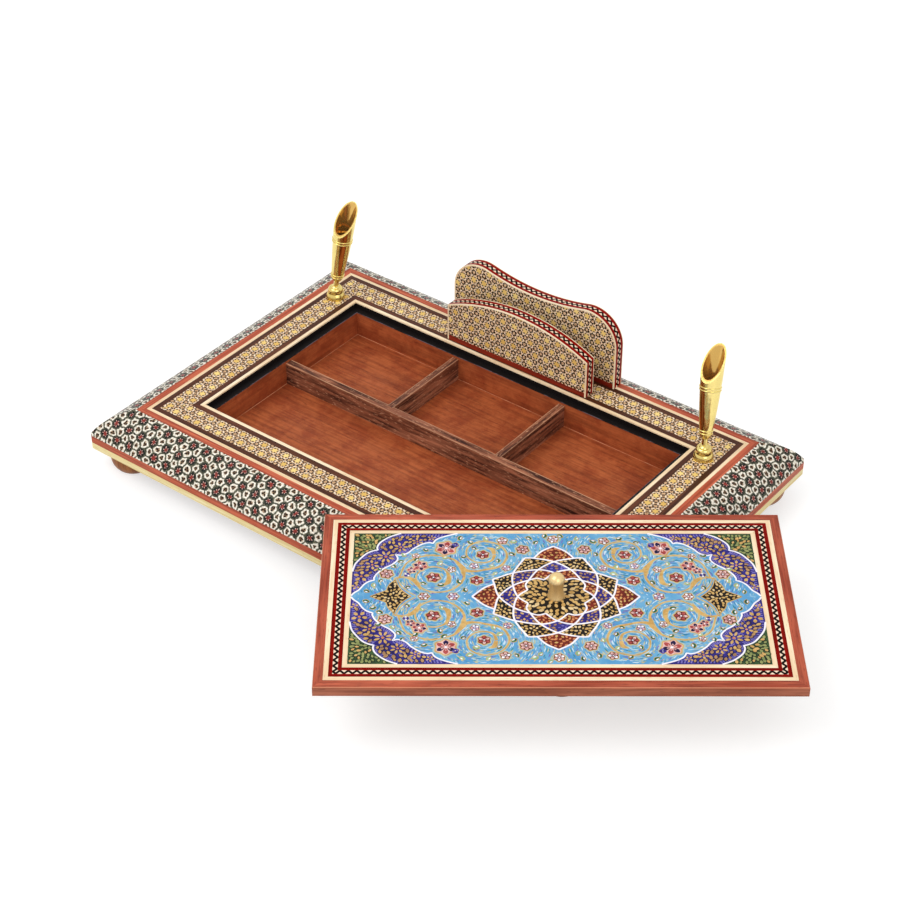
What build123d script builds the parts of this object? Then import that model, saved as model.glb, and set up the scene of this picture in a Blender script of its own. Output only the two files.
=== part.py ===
"""Inlaid desk box: a moulded base with four compartments and a lift-off lid, a letter rack behind them
and two brass pen holders on ball joints. Millimetres, +Z up, +Y towards the rack. The origin is the
centre of the bottom board's underside, so the feet reach below it."""

import os
from math import cos, radians, sin, sqrt

from build123d import *

# Opening and lid
opening_length = 288.0
opening_width = 160.5
lid_clearance = 1.0  # between the lid and the opening, all round
lid_thickness = 7.4
rebate_depth = 4.8  # from the top down to the ledge that carries the lid
ledge_width = 4.8

# Base
board_thickness = 5.0
board_housing = 5.0  # how far the bottom board is let into the mouldings
edge_band_height = 5.6
slope_drop = 18.2
slope_run = 23.4
slope_half_turn = 25.0  # degrees between the slope's chord and its tangent at either end
corner_radius = 2.5
corner_ease = 0.05  # the corner arcs start this far outside the sides, so they meet them in an arris
veneer = 1.0
overreach = 1.0  # how far a cut runs past the surface it opens

# Strips round the opening, from its edge outwards
inner_ivory_width = 2.5
inner_brown_width = 4.0
mosaic_width = 15.1
outer_brown_width = 3.9
outer_ivory_width = 2.5
rim_width = 5.0

# Compartments
divider_drop = 6.7  # from the top down to the dividers' upper edges
long_divider_thickness = 5.8
short_divider_thickness = 4.8
left_divider_x = -48.7
right_divider_x = 43.0
housing_depth = 1.2

# Feet
foot_height = 16.4
foot_radius = 15.7
foot_sole_radius = 12.2
foot_top_radius = 14.2
foot_inset = 20.0
tenon_radius = 6.0
tenon_length = 12.0

# Letter rack
rack_x = -3.0
front_panel_setback = 3.7  # from the opening's rear edge back to the front panel
panel_thickness = 8.9
plinth_height = 3.8
front_panel_width = 118.8
front_panel_end_height = 28.5
front_panel_height = 42.5
rear_panel_width = 138.0
rear_panel_height = 54.8
rear_panel_dip = 5.9
rear_panel_shoulder = 23.0
dowel_radius = 1.8
dowel_length = 16.0
dowel_spacing = 76.0

# Pen holders
pen_setback = 3.75  # from the opening's rear edge forward to the pen holders
pen_shift = -1.9  # both pen holders stand this far to the left
socket_radius = 6.8
socket_dome = (6.45, 2.85)  # radius and height halfway up its rounded side
socket_shoulder_radius = 5.5
socket_shoulder_height = 4.6
socket_height = 6.4
socket_wall = 0.8
flange_height = 0.8
stud_radius = 1.9
stud_length = 15.0
ball_radius = 3.9
ball_height = 6.7  # centre of the ball above the top
ball_play = 0.08
ring_height = 8.9  # top of the retaining ring above the top
ring_radius = 5.4
ring_dome = (5.1, 7.9)
ring_mouth_radius = 4.3
ring_play = 0.06
stem_radius = 1.9
collar_radius = 3.0
collar_start = 7.6
funnel_start = 8.6
funnel_foot_radius = 3.3
funnel_waist_radius = 4.2
funnel_waist = 10.6
funnel_middle = 36.0
funnel_middle_radius = 6.6
funnel_top = 71.4
funnel_top_radius = 8.0
funnel_seat_radius = 5.8  # inside, where the mouth meets the bore
funnel_lip = 46.0
funnel_wall = 0.8
bore_radius = 4.5
bore_start = 24.0
bore_end = 46.0
spigot_length = 4.4
bead_radius = 0.5
bead_pitch = 2.0
lower_bead = 11.6
upper_bead = 41.8
lean_angle = {"left": 8.6, "right": 17.6}  # degrees from upright
lean_turn = {"left": 55.0, "right": 25.8}  # degrees from +Y towards the middle of the box

# Lid
lid_frame_width = 5.9
lid_ivory_width = 2.9
lid_red_width = 2.0
lid_chain_width = 3.8
lid_centre = (165.2, -103.5)
lid_yaw = 37.6
lid_edge_radius = 0.8
knob_height = 18.0
knob_foot_radius = 5.3
knob_foot_height = 1.2
knob_waist_radius = 4.2
knob_neck_top = 13.2
knob_head_radius = 5.1
screw_radius = 1.9
screw_head_radius = 3.8
screw_head_height = 2.2
screw_length = 13.0

moulding_height = slope_drop + edge_band_height
top_z = board_thickness + moulding_height
top_margin = (inner_ivory_width + inner_brown_width + mosaic_width + outer_brown_width
              + outer_ivory_width + rim_width)
edge_margin = top_margin + slope_run
base_length = opening_length + 2 * edge_margin
base_width = opening_width + 2 * edge_margin
slope_radius = sqrt(slope_run**2 + slope_drop**2) / (2 * sin(radians(slope_half_turn)))
inside_length = opening_length - 2 * ledge_width
inside_width = opening_width - 2 * ledge_width
mosaic_start = inner_ivory_width + inner_brown_width
front_panel_y = opening_width / 2 + front_panel_setback
rear_panel_y = opening_width / 2 + top_margin - panel_thickness
pen_x = opening_length / 2 + mosaic_start + mosaic_width / 2
pen_y = opening_width / 2 - pen_setback
lid_length = opening_length - 2 * lid_clearance
lid_width = opening_width - 2 * lid_clearance

SIDES = {"front": (0, -1), "right": (1, 0), "back": (0, 1), "left": (-1, 0)}


def half_across(side, length, width):
    """Distance from the middle of a length by width rectangle to one of its sides."""
    return abs(SIDES[side][0]) * length / 2 + abs(SIDES[side][1]) * width / 2


def mitred_rail(side, length, width, level, section, reach):
    """One side of a frame round a length by width rectangle, mitred at both ends. The section has
    x outwards from the rectangle's edge and y up from level, and goes no further out than reach."""
    outward = Vector(*SIDES[side], 0)
    along = outward.cross(Vector(0, 0, 1))
    middle = outward * half_across(side, length, width) + Vector(0, 0, level)
    half_side = (length + width) / 2 - half_across(side, length, width)
    with BuildPart() as rail:
        with BuildSketch(Plane(origin=middle, x_dir=outward, z_dir=along)):
            add(section)
        extrude(amount=half_side + reach + overreach, both=True)
        for end in (along, -along):
            split(bisect_by=Plane(origin=middle + end * half_side, z_dir=end - outward), keep=Keep.BOTTOM)
    return rail.part


def strip_section(start, width):
    """Section of a veneer strip let in flush with the surface."""
    with BuildSketch() as section:
        with Locations((start + width / 2, -veneer / 2)):
            Rectangle(width, veneer)
    return section.sketch


def slope_points(inset):
    """Top, middle and foot of the moulding's convex slope, or of the arc that lies inset below it."""
    outward = Vector(slope_drop, slope_run).normalized()
    middle_chord = Vector(top_margin + slope_run / 2, -slope_drop / 2)
    centre = middle_chord - outward * slope_radius * cos(radians(slope_half_turn))
    radius = slope_radius - inset
    top = Vector(top_margin, centre.Y + sqrt(radius**2 - (top_margin - centre.X)**2))
    foot = Vector(centre.X + sqrt(radius**2 - (slope_drop + centre.Y)**2), -slope_drop)
    return top, centre + outward * radius, foot


def moulding_section():
    """Solid core of the base's side, under its veneers, with a rebate below for the bottom board."""
    with BuildSketch() as section:
        with BuildLine():
            arc = ThreePointArc(*slope_points(veneer))
            Polyline(arc @ 1, (edge_margin - veneer, -slope_drop), (edge_margin - veneer, -top_z),
                     (board_housing, -top_z), (board_housing, -moulding_height), (0, -moulding_height),
                     (0, -veneer), (top_margin, -veneer), arc @ 0)
        make_face()
    return section.sketch


def slope_section():
    """Mosaic sheet bent over the slope."""
    with BuildSketch() as section:
        with BuildLine():
            outer = ThreePointArc(*slope_points(0))
            inner = ThreePointArc(*slope_points(veneer))
            Line(outer @ 0, inner @ 0)
            Line(inner @ 1, outer @ 1)
        make_face()
    return section.sketch


def edge_section(top, height):
    """Section of a facing strip on the vertical edge."""
    with BuildSketch() as section:
        with Locations((edge_margin - veneer / 2, top - height / 2)):
            Rectangle(veneer, height)
    return section.sketch


def lining_section():
    """Compartment wall, whose upper edge is the ledge for the lid."""
    height = moulding_height - rebate_depth
    with BuildSketch() as section:
        with Locations((-ledge_width / 2, -rebate_depth - height / 2)):
            Rectangle(ledge_width, height)
    return section.sketch


def save(part, name):
    part.label = name
    export_step(part, f"parts/{name}.step")


def save_group(parts, name):
    """Separate solids that share one node, such as the four mitred strips of a border."""
    save(Compound(children=parts), name)


def side_piece(side, section):
    """One mitred side of the base's facing, trimmed to the plan's rounded corners."""
    with BuildPart() as piece:
        with BuildSketch():
            RectangleRounded(base_length + 2 * corner_ease, base_width + 2 * corner_ease, corner_radius)
        extrude(amount=top_z)
        add(mitred_rail(side, opening_length, opening_width, top_z, section, edge_margin), mode=Mode.INTERSECT)
    return piece.part


def dowel_places(y):
    return [(rack_x + offset, y + panel_thickness / 2) for offset in (-dowel_spacing / 2, dowel_spacing / 2)]


def dowel_holes():
    """Holes for the rack's dowels, in whatever piece is being built."""
    with Locations(*[(x, y, top_z) for y in (front_panel_y, rear_panel_y) for x, y in dowel_places(y)]):
        Cylinder(dowel_radius, dowel_length, mode=Mode.SUBTRACT)


def stud_holes():
    with Locations((pen_shift - pen_x, pen_y, top_z), (pen_shift + pen_x, pen_y, top_z)):
        Cylinder(stud_radius, 2 * stud_length, mode=Mode.SUBTRACT)


def foot_places():
    x = base_length / 2 - foot_inset
    y = base_width / 2 - foot_inset
    return {"front_left": (-x, -y), "front_right": (x, -y), "back_left": (-x, y), "back_right": (x, y)}


def tenon_holes():
    """Holes for the feet, each on the joint between two mouldings."""
    with Locations(*foot_places().values()):
        Cylinder(tenon_radius, 2 * tenon_length, mode=Mode.SUBTRACT)


def base_pieces():
    with BuildPart() as bottom_board:
        Box(opening_length + 2 * board_housing, opening_width + 2 * board_housing, board_thickness,
            align=(Align.CENTER, Align.CENTER, Align.MIN))
    save(bottom_board.part, "bottom_board")

    for side in SIDES:
        with BuildPart() as moulding:
            add(mitred_rail(side, opening_length, opening_width, top_z, moulding_section(), edge_margin))
            dowel_holes()
            stud_holes()
            tenon_holes()
        save(moulding.part, f"moulding_{side}")
        save(side_piece(side, slope_section()), f"slope_mosaic_{side}")

    for name, top, height in (("edge_band", -slope_drop, edge_band_height),
                              ("lower_edging", -moulding_height, board_thickness)):
        save_group([side_piece(side, edge_section(top, height)) for side in SIDES], name)


def top_border():
    """The flush strips round the opening, each in four mitred lengths."""
    start = 0
    for name, width in (("ivory_line_inner", inner_ivory_width), ("brown_strip_inner", inner_brown_width),
                        ("top_mosaic", mosaic_width), ("brown_strip_outer", outer_brown_width),
                        ("ivory_line_outer", outer_ivory_width), ("rim_band", rim_width)):
        strips = []
        for side in SIDES:
            with BuildPart() as strip:
                add(mitred_rail(side, opening_length, opening_width, top_z,
                                strip_section(start, width), top_margin))
                dowel_holes()
                stud_holes()
            strips.append(strip.part)
        save_group(strips, name)
        start += width


def compartments():
    height = moulding_height - divider_drop
    short_middle = (inside_width / 2 + long_divider_thickness / 2) / 2
    short_length = inside_width / 2 - long_divider_thickness / 2 + 2 * housing_depth

    def long_divider_block(**options):
        with Locations((0, 0, board_thickness)):
            Box(inside_length + 2 * housing_depth, long_divider_thickness, height,
                align=(Align.CENTER, Align.CENTER, Align.MIN), **options)

    def short_divider_block(x, **options):
        with Locations((x, short_middle, board_thickness)):
            Box(short_divider_thickness, short_length, height,
                align=(Align.CENTER, Align.CENTER, Align.MIN), **options)

    for side in SIDES:
        with BuildPart() as lining:
            add(mitred_rail(side, opening_length, opening_width, top_z, lining_section(), 0))
            long_divider_block(mode=Mode.SUBTRACT)
            for x in (left_divider_x, right_divider_x):
                short_divider_block(x, mode=Mode.SUBTRACT)
        save(lining.part, f"lining_{side}")

    with BuildPart() as long_divider:
        long_divider_block()
        for x in (left_divider_x, right_divider_x):
            short_divider_block(x, mode=Mode.SUBTRACT)
    save(long_divider.part, "long_divider")

    for name, x in (("short_divider_left", left_divider_x), ("short_divider_right", right_divider_x)):
        with BuildPart() as short_divider:
            short_divider_block(x)
        save(short_divider.part, name)


def feet():
    """Turned bun feet, each with a tenon glued into the corner of two mouldings."""
    belly = 0.5 * foot_height
    for name, (x, y) in foot_places().items():
        with BuildPart() as foot:
            with BuildSketch(Plane(origin=(x, y, -foot_height), x_dir=(1, 0, 0), z_dir=(0, -1, 0))):
                with BuildLine():
                    lower = TangentArc((foot_radius, belly), (foot_sole_radius, 0), tangent=(0, -1))
                    upper = TangentArc((foot_radius, belly), (foot_top_radius, foot_height), tangent=(0, 1))
                    Polyline(upper @ 1, (tenon_radius, foot_height),
                             (tenon_radius, foot_height + tenon_length),
                             (0, foot_height + tenon_length), (0, 0), lower @ 1)
                make_face()
            revolve(axis=Axis((x, y, 0), (0, 0, 1)))
        save(foot.part, f"foot_{name}")


def front_outline(inset):
    """Front panel: straight ends under one shallow arch."""
    half = front_panel_width / 2 - inset
    rise = front_panel_height - front_panel_end_height
    radius = ((front_panel_width / 2)**2 + rise**2) / (2 * rise)
    centre = front_panel_height - radius
    arch = radius - inset
    end_height = centre + sqrt(arch**2 - half**2)
    with BuildSketch() as outline:
        with BuildLine():
            curve = ThreePointArc((-half, end_height), (0, front_panel_height - inset), (half, end_height))
            Polyline(curve @ 1, (half, 0), (-half, 0), curve @ 0)
        make_face()
    return outline.sketch


def rear_outline(inset):
    """Rear panel: two rounded shoulders with a shallow dip between them."""
    shoulder_x = rear_panel_width / 2 - rear_panel_shoulder
    shoulder_z = rear_panel_height - rear_panel_shoulder
    both = (shoulder_x**2 + rear_panel_dip**2) / (2 * rear_panel_dip)
    dip_z = rear_panel_height - rear_panel_dip
    dip_radius = both - rear_panel_shoulder
    dip_centre = Vector(0, dip_z + dip_radius)
    shoulder = rear_panel_shoulder - inset
    points = []
    for turn in (-1, 1):
        centre = Vector(turn * shoulder_x, shoulder_z)
        meet = centre + (dip_centre - centre).normalized() * shoulder
        crown = centre + Vector(turn * sin(radians(45)), cos(radians(45))) * shoulder
        points.append((meet, crown, centre + Vector(turn * shoulder, 0)))
    left, right = points
    with BuildSketch() as outline:
        with BuildLine():
            dip = ThreePointArc(left[0], (0, dip_z - inset), right[0])
            right_arc = ThreePointArc(dip @ 1, right[1], right[2])
            left_arc = ThreePointArc(dip @ 0, left[1], left[2])
            Polyline(right_arc @ 1, (right[2].X, 0), (left[2].X, 0), left_arc @ 1)
        make_face()
    return outline.sketch


def rack_panel(name, outline, front_y):
    """A panel of the letter rack: core, mosaic faces, plinth strips and an edging over its edge."""
    def layer(inset, start, thickness, low, high):
        """The part of the outlined slab between two heights and two depths."""
        with BuildPart() as slab:
            with BuildSketch(Plane(origin=(rack_x, front_y + start, top_z), x_dir=(1, 0, 0), z_dir=(0, -1, 0))):
                add(outline(inset))
                with Locations((0, (low + high) / 2)):
                    Rectangle(2 * rear_panel_width, high - low, mode=Mode.INTERSECT)
            extrude(amount=-thickness)
        return slab.part

    tall = 2 * rear_panel_height
    with BuildPart() as core:
        add(layer(veneer, veneer, panel_thickness - 2 * veneer, 0, tall))
        dowel_holes()
    save(core.part, f"rack_{name}_core")
    back = panel_thickness - veneer
    save(layer(veneer, 0, veneer, plinth_height, tall), f"rack_{name}_mosaic_front")
    save(layer(veneer, back, veneer, plinth_height, tall), f"rack_{name}_mosaic_back")
    save_group([layer(veneer, 0, veneer, 0, plinth_height), layer(veneer, back, veneer, 0, plinth_height)],
               f"rack_{name}_plinth")
    with BuildPart() as edging:
        add(layer(0, 0, panel_thickness, 0, tall))
        add(layer(veneer, 0, panel_thickness, 0, tall), mode=Mode.SUBTRACT)
    save(edging.part, f"rack_{name}_edging")


def letter_rack():
    rack_panel("front", front_outline, front_panel_y)
    rack_panel("rear", rear_outline, rear_panel_y)
    dowels = []
    for y in (front_panel_y, rear_panel_y):
        for place in dowel_places(y):
            with BuildPart() as dowel:
                with Locations((*place, top_z)):
                    Cylinder(dowel_radius, dowel_length)
            dowels.append(dowel.part)
    save_group(dowels, "rack_dowels")


def pen_holder(name, side):
    """Ball joint and funnel. side is -1 on the left and 1 on the right."""
    foot = Vector(pen_shift + side * pen_x, pen_y, top_z)
    upright = Plane(origin=foot, x_dir=(1, 0, 0), z_dir=(0, -1, 0))
    upright_axis = Axis(foot, (0, 0, 1))
    ball_centre = foot + Vector(0, 0, ball_height)
    cup_radius = ball_radius + ball_play
    neck_radius = socket_shoulder_radius - socket_wall

    with BuildPart() as socket:
        with BuildSketch(upright):
            with BuildLine():
                dome = ThreePointArc((socket_radius, flange_height), socket_dome,
                                     (socket_shoulder_radius, socket_shoulder_height))
                Polyline(dome @ 1, (neck_radius, socket_shoulder_height), (neck_radius, socket_height),
                         (0, socket_height), (0, -stud_length), (stud_radius, -stud_length),
                         (stud_radius, 0), (socket_radius, 0), dome @ 0)
            make_face()
        revolve(axis=upright_axis)
        with Locations(ball_centre):
            Sphere(cup_radius, mode=Mode.SUBTRACT)
    save(socket.part, f"pen_socket_{name}")

    with BuildPart() as ring:
        with BuildSketch(upright):
            skirt = socket_shoulder_height + ring_play
            with BuildLine():
                cap = ThreePointArc((ring_radius, socket_height), ring_dome, (ring_mouth_radius, ring_height))
                Polyline(cap @ 1, (0, ring_height), (0, skirt), (ring_radius, skirt), cap @ 0)
            make_face()
        revolve(axis=upright_axis)
        with Locations(foot + Vector(0, 0, skirt)):
            Cylinder(neck_radius + ring_play, socket_height + ring_play - skirt,
                     align=(Align.CENTER, Align.CENTER, Align.MIN), mode=Mode.SUBTRACT)
        with Locations(ball_centre):
            Sphere(cup_radius, mode=Mode.SUBTRACT)
    save(ring.part, f"pen_ring_{name}")

    turn = radians(lean_turn[name])
    lean = radians(lean_angle[name])
    lean_way = Vector(-side * sin(turn), cos(turn), 0)
    axis = lean_way * sin(lean) + Vector(0, 0, cos(lean))
    facing = (Vector(0, -1, 0) + axis * axis.Y).normalized()
    leaning = Plane(origin=ball_centre, x_dir=facing, z_dir=facing.cross(axis))
    leaning_axis = Axis(ball_centre, axis)
    spigot_end = funnel_start + spigot_length

    with BuildPart() as ball:
        with Locations(ball_centre):
            Sphere(ball_radius)
        with BuildSketch(leaning):
            with BuildLine():
                Polyline((0, 0), (stem_radius, 0), (stem_radius, collar_start), (collar_radius, funnel_start),
                         (stem_radius, funnel_start), (stem_radius, spigot_end), (0, spigot_end), (0, 0))
            make_face()
        revolve(axis=leaning_axis)
    save(ball.part, f"pen_ball_{name}")

    with BuildPart() as funnel:
        with BuildSketch(leaning):
            with BuildLine():
                taper = Polyline((0, funnel_start), (funnel_foot_radius, funnel_start),
                                 (funnel_waist_radius, funnel_waist))
                wall = ThreePointArc(taper @ 1, (funnel_middle_radius, funnel_middle),
                                     (funnel_top_radius, funnel_top))
                Polyline(wall @ 1, (0, funnel_top), taper @ 0)
            make_face()
        revolve(axis=leaning_axis)
        with BuildSketch(leaning):
            for start in (lower_bead, upper_bead):
                for height in (start, start + bead_pitch):
                    with Locations(wall @ ((height - funnel_waist) / (funnel_top - funnel_waist))):
                        Circle(bead_radius)
        revolve(axis=leaning_axis)
        with BuildSketch(leaning):
            with BuildLine():
                Polyline((0, bore_start - bore_radius), (bore_radius, bore_start), (bore_radius, bore_end),
                         (funnel_seat_radius, bore_end),
                         (funnel_top_radius - funnel_wall, funnel_top + overreach),
                         (0, funnel_top + overreach),
                         (0, bore_start - bore_radius))
            make_face()
        revolve(axis=leaning_axis, mode=Mode.SUBTRACT)
        with BuildSketch(leaning):
            with BuildLine():
                Polyline((0, funnel_start), (stem_radius, funnel_start), (stem_radius, spigot_end),
                         (0, spigot_end), (0, funnel_start))
            make_face()
        revolve(axis=leaning_axis, mode=Mode.SUBTRACT)
        lip = ball_centre + axis * funnel_lip + facing * funnel_top_radius
        crest = ball_centre + axis * funnel_top - facing * funnel_top_radius
        split(bisect_by=Plane(origin=lip, z_dir=(crest - lip).cross(facing.cross(axis))), keep=Keep.BOTTOM)
    save(funnel.part, f"pen_funnel_{name}")


def lid():
    place = Location((*lid_centre, top_z), (0, 0, lid_yaw))
    surface = lid_thickness
    inner_length = lid_length - 2 * lid_frame_width
    inner_width = lid_width - 2 * lid_frame_width

    def knob_screw_hole(radius):
        Cylinder(radius, 4 * lid_thickness, mode=Mode.SUBTRACT)

    with BuildSketch() as frame_section:
        with Locations((-lid_frame_width / 2, -lid_thickness / 2)):
            RectangleRounded(lid_frame_width, lid_thickness, lid_edge_radius)
        with Locations((-lid_frame_width + lid_edge_radius / 2, -lid_thickness / 2)):
            Rectangle(lid_edge_radius, lid_thickness)
    frame = [mitred_rail(side, lid_length, lid_width, surface, frame_section.sketch, 0).moved(place)
             for side in SIDES]
    save_group(frame, "lid_frame")

    with BuildPart() as board:
        Box(inner_length, inner_width, lid_thickness - veneer, align=(Align.CENTER, Align.CENTER, Align.MIN))
        knob_screw_hole(screw_radius)
        Cone(screw_head_radius, screw_radius, screw_head_height, mode=Mode.SUBTRACT,
             align=(Align.CENTER, Align.CENTER, Align.MIN))
    save(board.part.moved(place), "lid_board")

    start = 0
    for name, width in (("lid_ivory_outer", lid_ivory_width), ("lid_red_outer", lid_red_width),
                        ("lid_chain", lid_chain_width), ("lid_red_inner", lid_red_width),
                        ("lid_ivory_inner", lid_ivory_width)):
        strips = [mitred_rail(side, inner_length - 2 * (start + width), inner_width - 2 * (start + width),
                              surface, strip_section(0, width), width).moved(place) for side in SIDES]
        save_group(strips, name)
        start += width

    with BuildPart() as panel:
        with Locations((0, 0, surface - veneer)):
            Box(inner_length - 2 * start, inner_width - 2 * start, veneer,
                align=(Align.CENTER, Align.CENTER, Align.MIN))
        knob_screw_hole(screw_radius)
    save(panel.part.moved(place), "lid_painted_panel")

    with BuildPart() as knob:
        with BuildSketch(Plane.XZ):
            with BuildLine():
                foot = Polyline((0, surface), (knob_foot_radius, surface),
                                (knob_foot_radius, surface + knob_foot_height))
                neck = ThreePointArc(foot @ 1, (knob_waist_radius, surface + (knob_foot_height + knob_neck_top) / 2),
                                     (knob_head_radius, surface + knob_neck_top))
                TangentArc((0, surface + knob_height), neck @ 1, tangent=(1, 0))
                Line((0, surface + knob_height), foot @ 0)
            make_face()
        revolve(axis=Axis.Z)
        with Locations((0, 0, surface)):
            Cylinder(screw_radius, 2 * (screw_length - lid_thickness), mode=Mode.SUBTRACT)
    save(knob.part.moved(place), "knob")

    with BuildPart() as screw:
        Cone(screw_head_radius, screw_radius, screw_head_height, align=(Align.CENTER, Align.CENTER, Align.MIN))
        Cylinder(screw_radius, screw_length, align=(Align.CENTER, Align.CENTER, Align.MIN))
    save(screw.part.moved(place), "knob_screw")


os.makedirs("parts", exist_ok=True)
base_pieces()
top_border()
compartments()
feet()
letter_rack()
pen_holder("left", -1)
pen_holder("right", 1)
lid()
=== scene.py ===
# %% [markdown]
# # Dressing an inlaid desk box
# The solids come from the CAD model and stay as they are. This script gives every surface its finish:
# star mosaic, line inlay, wood, lacquer, brass and the painted lid. It is a lesson in cells, so each step
# says what the piece is on the real object, how it could be made, and why it is made this way.

# %% Load the frame
import collections
import itertools
import math
import random

import bmesh
import bpy
from mathutils import Matrix, Vector


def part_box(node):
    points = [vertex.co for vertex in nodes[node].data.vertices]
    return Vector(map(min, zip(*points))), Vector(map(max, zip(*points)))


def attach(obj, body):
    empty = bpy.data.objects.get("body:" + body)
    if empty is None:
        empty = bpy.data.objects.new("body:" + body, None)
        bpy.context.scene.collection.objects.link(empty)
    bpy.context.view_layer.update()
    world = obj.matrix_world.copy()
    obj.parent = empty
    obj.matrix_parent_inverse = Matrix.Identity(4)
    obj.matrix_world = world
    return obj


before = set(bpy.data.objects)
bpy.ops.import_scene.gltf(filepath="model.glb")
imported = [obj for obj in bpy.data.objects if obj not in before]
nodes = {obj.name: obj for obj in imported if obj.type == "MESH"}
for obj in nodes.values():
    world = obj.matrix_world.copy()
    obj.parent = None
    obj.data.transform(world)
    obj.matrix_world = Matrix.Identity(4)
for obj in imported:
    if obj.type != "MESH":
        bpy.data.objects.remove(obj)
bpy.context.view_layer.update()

MM = 0.001
HAIR = 0.1 * MM  # how wide a sharp edge between two colours is

# %% [markdown]
# ## The box's own sizes
# Patterns have to land on the inlay strips to a tenth of a millimetre. They could be unwrapped by hand, but
# it is simpler to work them out from the same sizes that the joiner used, because every CAD node keeps its
# place in its mesh: the Object texture coordinate is then the place in the box, in metres.

# %% Sizes, in metres
TOP = 28.8 * MM
FLOOR = -16.4 * MM
OPENING = (288.0 * MM, 160.5 * MM)
TOP_MARGIN = 33.0 * MM
SLOPE_RUN, SLOPE_DROP = 23.4 * MM, 18.2 * MM
SLOPE_HALF_TURN = math.radians(25)
MOSAIC_START, MOSAIC_WIDTH = 6.5 * MM, 15.1 * MM
LEDGE_DROP, LEDGE_WIDTH = 4.8 * MM, 4.8 * MM
LID_CENTRE = Vector((165.2 * MM, -103.5 * MM, TOP + 7.4 * MM))
LID_TURN = math.radians(37.6)
LID_HALF = (143.0 * MM, 79.25 * MM)
PAINTED_HALF = (123.5 * MM, 59.75 * MM)
LID_CHAIN_IN, LID_CHAIN_WIDTH = 12.7 * MM, 3.8 * MM

# %% [markdown]
# ## Camera
# The photograph looks down on the front left corner with a long lens. The camera is set first, because all
# later choices of scale are judged through it.

# %% Set the camera
EYE = Vector((0.7202, -0.9261, 0.8964))
LOOK = Vector((-0.48757, 0.63094, -0.60349))
UP = Vector((-0.36901, 0.47752, 0.79737))
PHOTO_PIXELS = 900
FOCAL_PIXELS = 2173

camera = bpy.data.objects.new("camera", bpy.data.cameras.new("camera"))
bpy.context.scene.collection.objects.link(camera)
right = LOOK.cross(UP).normalized()
camera.matrix_world = Matrix.Translation(EYE) @ Matrix((right, UP, -LOOK)).transposed().to_4x4()
camera.data.sensor_width = 36.0
camera.data.lens = FOCAL_PIXELS / PHOTO_PIXELS * camera.data.sensor_width
bpy.context.scene.camera = camera
bpy.context.scene.view_settings.view_transform = "Standard"
print("lens:", round(camera.data.lens, 1), "mm")

# %% [markdown]
# ## Writing materials as formulas
# A node material can be clicked together by hand. Written in code it is easier to read as a formula, so two
# small classes come first. A Wire is an output socket, and + - * / on it add Math nodes. A Node gives its
# outputs as wires and takes what feeds its inputs. Everything else below is built from these two.

# %% Helpers: wires and nodes
class Wire:
    """An output socket of a node, ready for + - * / and abs."""

    def __init__(self, socket):
        self.socket, self.tree = socket, socket.id_data

    def __add__(self, other):
        return calc("ADD", self, other)

    def __sub__(self, other):
        return calc("SUBTRACT", self, other)

    def __rsub__(self, other):
        return calc("SUBTRACT", other, self)

    def __mul__(self, other):
        return calc("MULTIPLY", self, other)

    def __rmul__(self, other):
        return calc("MULTIPLY", other, self)

    def __truediv__(self, other):
        return calc("DIVIDE", self, other)

    def __abs__(self):
        return calc("ABSOLUTE", self)


class Node:
    """A node in a tree. node[place] is an output, node[place] = value feeds an input, by name or number."""

    def __init__(self, tree, kind, feeds=None, **settings):
        self.made = tree.nodes.new(kind)
        for name, value in settings.items():
            setattr(self.made, name, value)
        for place, value in (feeds or {}).items():
            self[place] = value

    def __getitem__(self, place):
        return Wire(self.made.outputs[place])

    def __setitem__(self, place, value):
        if isinstance(value, Wire):
            value.tree.links.new(value.socket, self.made.inputs[place])
        else:
            self.made.inputs[place].default_value = value


def put(kind, feeds, **settings):
    """Adds a shader node to the tree that its wires come from."""
    tree = next(value.tree for value in feeds.values() if isinstance(value, Wire))
    return Node(tree, "ShaderNode" + kind, feeds, **settings)

# %% [markdown]
# The steps that every material repeats get a short name each. Colours are written as a paint chart gives
# them, from 0 to 255, and turned into a shader's linear values where they are blended.

# %% Helpers: sums, masks and colours
def calc(operation, *terms):
    """A Math node's result."""
    return put("Math", dict(enumerate(terms)), operation=operation)[0]


def vector(operation, *terms, output=0):
    """A Vector Math node's result."""
    return put("VectorMath", dict(enumerate(terms)), operation=operation)[output]


def length(wire):
    return vector("LENGTH", wire, output="Value")


def split(place):
    """The node whose three outputs are the parts of a vector."""
    return put("SeparateXYZ", {0: place})


def joined(*parts):
    return put("CombineXYZ", dict(enumerate(parts)))[0]


def noise(place, scale, detail, output=0, **more):
    return put("TexNoise", {"Vector": place, "Scale": scale, "Detail": detail, **more})[output]


def step_up(value, low, high):
    """0 below low, 1 above high, smooth between."""
    return put("MapRange", {0: value, 1: low, 2: high}, interpolation_type="SMOOTHSTEP")[0]


def choose(test, if_not, if_so):
    """One of two numbers: the second where test is 1."""
    return put("Mix", {0: test, 2: if_not, 3: if_so})[0]


def rgb(red, green, blue):
    return tuple((c / 255 / 12.92 if c <= 10 else ((c / 255 + 0.055) / 1.055) ** 2.4)
                 for c in (red, green, blue)) + (1.0,)


def blend(factor, first, second):
    """Colour that goes from first to second as factor goes from 0 to 1."""
    first, second = (c if isinstance(c, Wire) else rgb(*c) for c in (first, second))
    return put("Mix", {0: factor, 6: first, 7: second}, data_type="RGBA")[2]


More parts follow.
